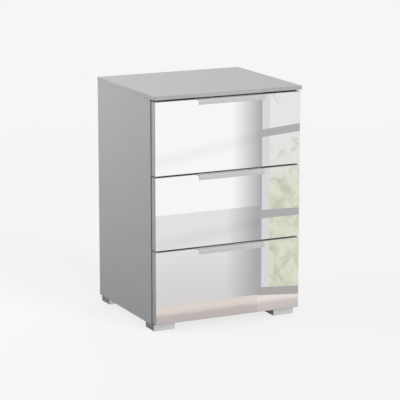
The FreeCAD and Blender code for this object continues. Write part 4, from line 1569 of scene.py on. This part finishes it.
# Heights where the flats on the left change their tone, where the bands start, and past all of them
STEP = (294.0, 294.0)
FOOT = (67.0, 67.0)
BELOW = (-FAR, -FAR)
ABOVE = (FAR, FAR)
# Painted shade of the wall's corner in the reflection
CORNER_SHADE = "#ABABAB"
LEFT_BANDS = ((20.0, "#BBB2B0"), (40.0, "#BFB6B3"), (47.0, "#D5CCC6"), (57.0, "#DDD4CC"), (67.0, "#D8D0CB"))
RIGHT_BANDS = ((22.0, "#C4BCBA"), (42.0, "#CCC3C0"), (49.0, "#DFD7D2"), (56.0, "#E7DFDA"), (66.0, "#E0D9D4"))
FLATS = (
    ReflectionFlat("upper_flat", -FAR, CORNER, STEP, ABOVE,
                   FadingLight("#F6F6F6", CORNER_SHADE, fade=(11.0, 91.0), foot=(0.0, 1.0),
                               foot_tone="#F6F6F6", streak_height=454.0, streak_slope=0.154)),
    ReflectionFlat("lower_flat", -FAR, CORNER, FOOT, STEP,
                   FadingLight("#E1E1E2", CORNER_SHADE, fade=(-5.0, 77.0), foot=(60.0, 250.0),
                               foot_tone="#D4D1D1", streak_height=242.0, streak_slope=0.11)),
    ReflectionFlat("banded_flat", -FAR, FAR, BELOW, FOOT,
                   BandedLight(LEFT_BANDS, streak_length=60.0, streak_width=5.0)),
    ReflectionFlat("banded_right", LOWER_BAR_LEFT, FAR, BELOW, FOOT,
                   BandedLight(RIGHT_BANDS, streak_length=60.0, streak_width=3.0)),
    ReflectionFlat("corner_strip", CORNER, UPRIGHT_LEFT, FOOT, ABOVE, EvenLight(CORNER_SHADE)),
    ReflectionFlat("upright", UPRIGHT_LEFT, PANEL_LEFT, FOOT, ABOVE, EvenLight("#D7D7D8")),
    ReflectionFlat("light_panel", PANEL_LEFT, FAR, FOOT, ABOVE,
                   CloudyLight("#E5E5E4", "#DCDDCB", "#A4AA92", rise=(300.0, 480.0), blotch_size=34.0)),
    ReflectionFlat("upper_bar", UPPER_BAR_LEFT, BARS_END, bottom=(465.2, 472.9), top=(484.0, 493.0),
                   light=EvenLight("#AFAFAF")),
    ReflectionFlat("middle_bar", MIDDLE_BAR_LEFT, BARS_END, bottom=(260.6, 260.6), top=(282.4, 279.2),
                   light=EvenLight("#B0ACAE")),
    ReflectionFlat("lower_bar", LOWER_BAR_LEFT, BARS_END, bottom=(65.3, 55.2), top=(85.7, 77.0),
                   light=EvenLight("#ABA7A7")),
)


@dataclass
class Stage:
    """Floor, light, camera, and the flats that the mirrors reflect."""

    camera: PhotoCamera
    mirror_plane: float
    lamps: tuple[FarLamp | Softbox, ...] = (
        FarLamp("rear_lamp", azimuth=125.0, elevation=20.0, width=60.0, strength=0.94),
        FarLamp("front_lamp", azimuth=20.0, elevation=26.0, width=24.0, strength=2.1),
        Softbox(),
    )
    backdrop: str = "#F6F6F6"
    ambient: float = 0.4
    floor_radius: float = 15.0
    floor_sides: int = 96
    floor_bounce: str = "#7A7A7A"
    # Share of the floor's own pale light, which keeps its shadow faint, and grows to all of it far off
    floor_glow: float = 0.84
    floor_glow_reach: Span = (0.8, 3.0)
    # Distance of the first flat from the mirrors, and how much nearer each next one is
    flat_distance: float = 1.0
    flat_step: float = 0.002
    # The dim flat at the left, from the front past the back and from far down up to its top
    side_flat_x: float = -1.2
    side_flat_front: float = -1.0
    side_flat_top: float = -0.2
    side_flat_reach: float = 6.0
    # Its dim light is painted shade in the reflections of the lower left side and of the feet's left faces
    side_flat_shade: EvenLight = EvenLight("#282A33")

    def build_world(self) -> None:
        """Even light all round, with the pale backdrop for what the camera and glossy surfaces see."""
        world = bpy.data.worlds.new("studio")
        bpy.context.scene.world = world
        tree = emptied(world)
        path = add(tree, "ShaderNodeLightPath")
        seen = path["Is Camera Ray"]
        for ray in ("Is Glossy Ray", "Is Transmission Ray"):
            seen = add(tree, "ShaderNodeMath", {0: seen, 1: path[ray]}, operation="MAXIMUM")
        light = add(tree, "ShaderNodeBackground", {"Color": linear(WHITE), "Strength": self.ambient})
        pale = add(tree, "ShaderNodeBackground", {"Color": linear(self.backdrop), "Strength": 1.0})
        surface = add(tree, "ShaderNodeMixShader", {0: seen, 1: light, 2: pale})
        add(tree, "ShaderNodeOutputWorld", {"Surface": surface})

    def build_floor(self) -> None:
        """A wide pale disc that keeps the shadow and sends little light back up."""
        mesh = bpy.data.meshes.new("floor")
        shape = bmesh.new()
        bmesh.ops.create_circle(shape, cap_ends=True, radius=self.floor_radius, segments=self.floor_sides)
        shape.to_mesh(mesh)
        shape.free()
        material = bpy.data.materials.new("pale_floor")
        tree = emptied(material)
        place = add(tree, "ShaderNodeTexCoord")["Object"]
        away = add(tree, "ShaderNodeVectorMath", {0: place}, operation="LENGTH")["Value"]
        share = add(tree, "ShaderNodeMapRange", {
            "Value": away, "From Min": self.floor_glow_reach[0], "From Max": self.floor_glow_reach[1],
            "To Min": self.floor_glow, "To Max": 1.0}, interpolation_type=Ease.SOFT.value)
        paint = add(tree, "ShaderNodeBsdfDiffuse", {"Color": linear(self.backdrop)})
        glow = add(tree, "ShaderNodeEmission", {"Color": linear(self.backdrop)})
        pale = add(tree, "ShaderNodeMixShader", {0: share, 1: paint, 2: glow})
        bounce = add(tree, "ShaderNodeBsdfDiffuse", {"Color": linear(self.floor_bounce)})
        seen = add(tree, "ShaderNodeLightPath")["Is Camera Ray"]
        surface = add(tree, "ShaderNodeMixShader", {0: seen, 1: bounce, 2: pale})
        add(tree, "ShaderNodeOutputMaterial", {"Surface": surface})
        mesh.materials.append(material)
        floor = put("floor", mesh)
        floor.visible_glossy = False

    def stand_flat(self, name: str, corners: list[Place], light: Light, reach: float = 0.0,
                   strength: float = 1.0) -> None:
        """Stand one luminous flat that only glossy surfaces see.

        Args:
            name: Its name.
            corners: Its corners, in metres.
            light: Its light.
            reach: How far past the mirrors it is, as a share of the way from the camera to them.
            strength: Brightness of the light.
        """
        material = bpy.data.materials.new(name)
        tree = emptied(material)
        scale = 1.0 / (MM * (1.0 + reach))
        metres = add(tree, "ShaderNodeTexCoord")["Object"]
        place = add(tree, "ShaderNodeMapping", {
            "Vector": metres, "Location": self.camera.eye * (reach * scale), "Scale": (scale, scale, scale)})
        glow = add(tree, "ShaderNodeEmission", {"Color": light.colour(place), "Strength": strength})
        add(tree, "ShaderNodeOutputMaterial", {"Surface": glow})
        mesh = bpy.data.meshes.new(name)
        mesh.from_pydata(corners, [], [(0, 1, 2, 3)])
        mesh.materials.append(material)
        flat = put(name, mesh)
        for ray in ("camera", "diffuse", "shadow", "transmission"):
            setattr(flat, f"visible_{ray}", False)

    def build_flats(self) -> None:
        """Stand flats where the camera's view in the mirrors falls, and a dim one at the left that paints
        shade.
        """
        eye = self.camera.eye
        # Makes up for what the silvering takes away
        strength = 3.0 / sum(linear(MIRROR.silver)[:3])
        for order, flat in enumerate(FLATS):
            distance = self.flat_distance - order * self.flat_step
            reach = distance / (self.mirror_plane - eye.y)
            y = self.mirror_plane - distance
            corners = [(x * MM + (x * MM - eye.x) * reach, y, z * MM + (z * MM - eye.z) * reach)
                       for x, z in flat.corners]
            self.stand_flat(flat.name, corners, flat.light, reach, strength)
        x, front = self.side_flat_x, self.side_flat_front
        top, far = self.side_flat_top, self.side_flat_reach
        corners = [(x, far, -far), (x, front, -far), (x, front, top), (x, far, top)]
        self.stand_flat("side_flat", corners, self.side_flat_shade)

    def build(self) -> None:
        """Set up the camera, the light, the floor and the flats."""
        self.camera.build()
        self.build_world()
        self.build_floor()
        for lamp in self.lamps:
            lamp.build()
        self.build_flats()
        bpy.context.scene.view_settings.view_transform = "Standard"


def main() -> None:
    """Build the chest's looks and its stage."""
    logging.basicConfig(level=logging.INFO, format="%(message)s")
    hardware = Hardware()
    for part in (Carcass(hardware), *(Drawer(level, hardware) for level in LEVELS)):
        part.build()
        part.dress()
    Stage(PhotoCamera(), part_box("mirror_upper")[0].y).build()


if __name__ == "__main__":
    main()
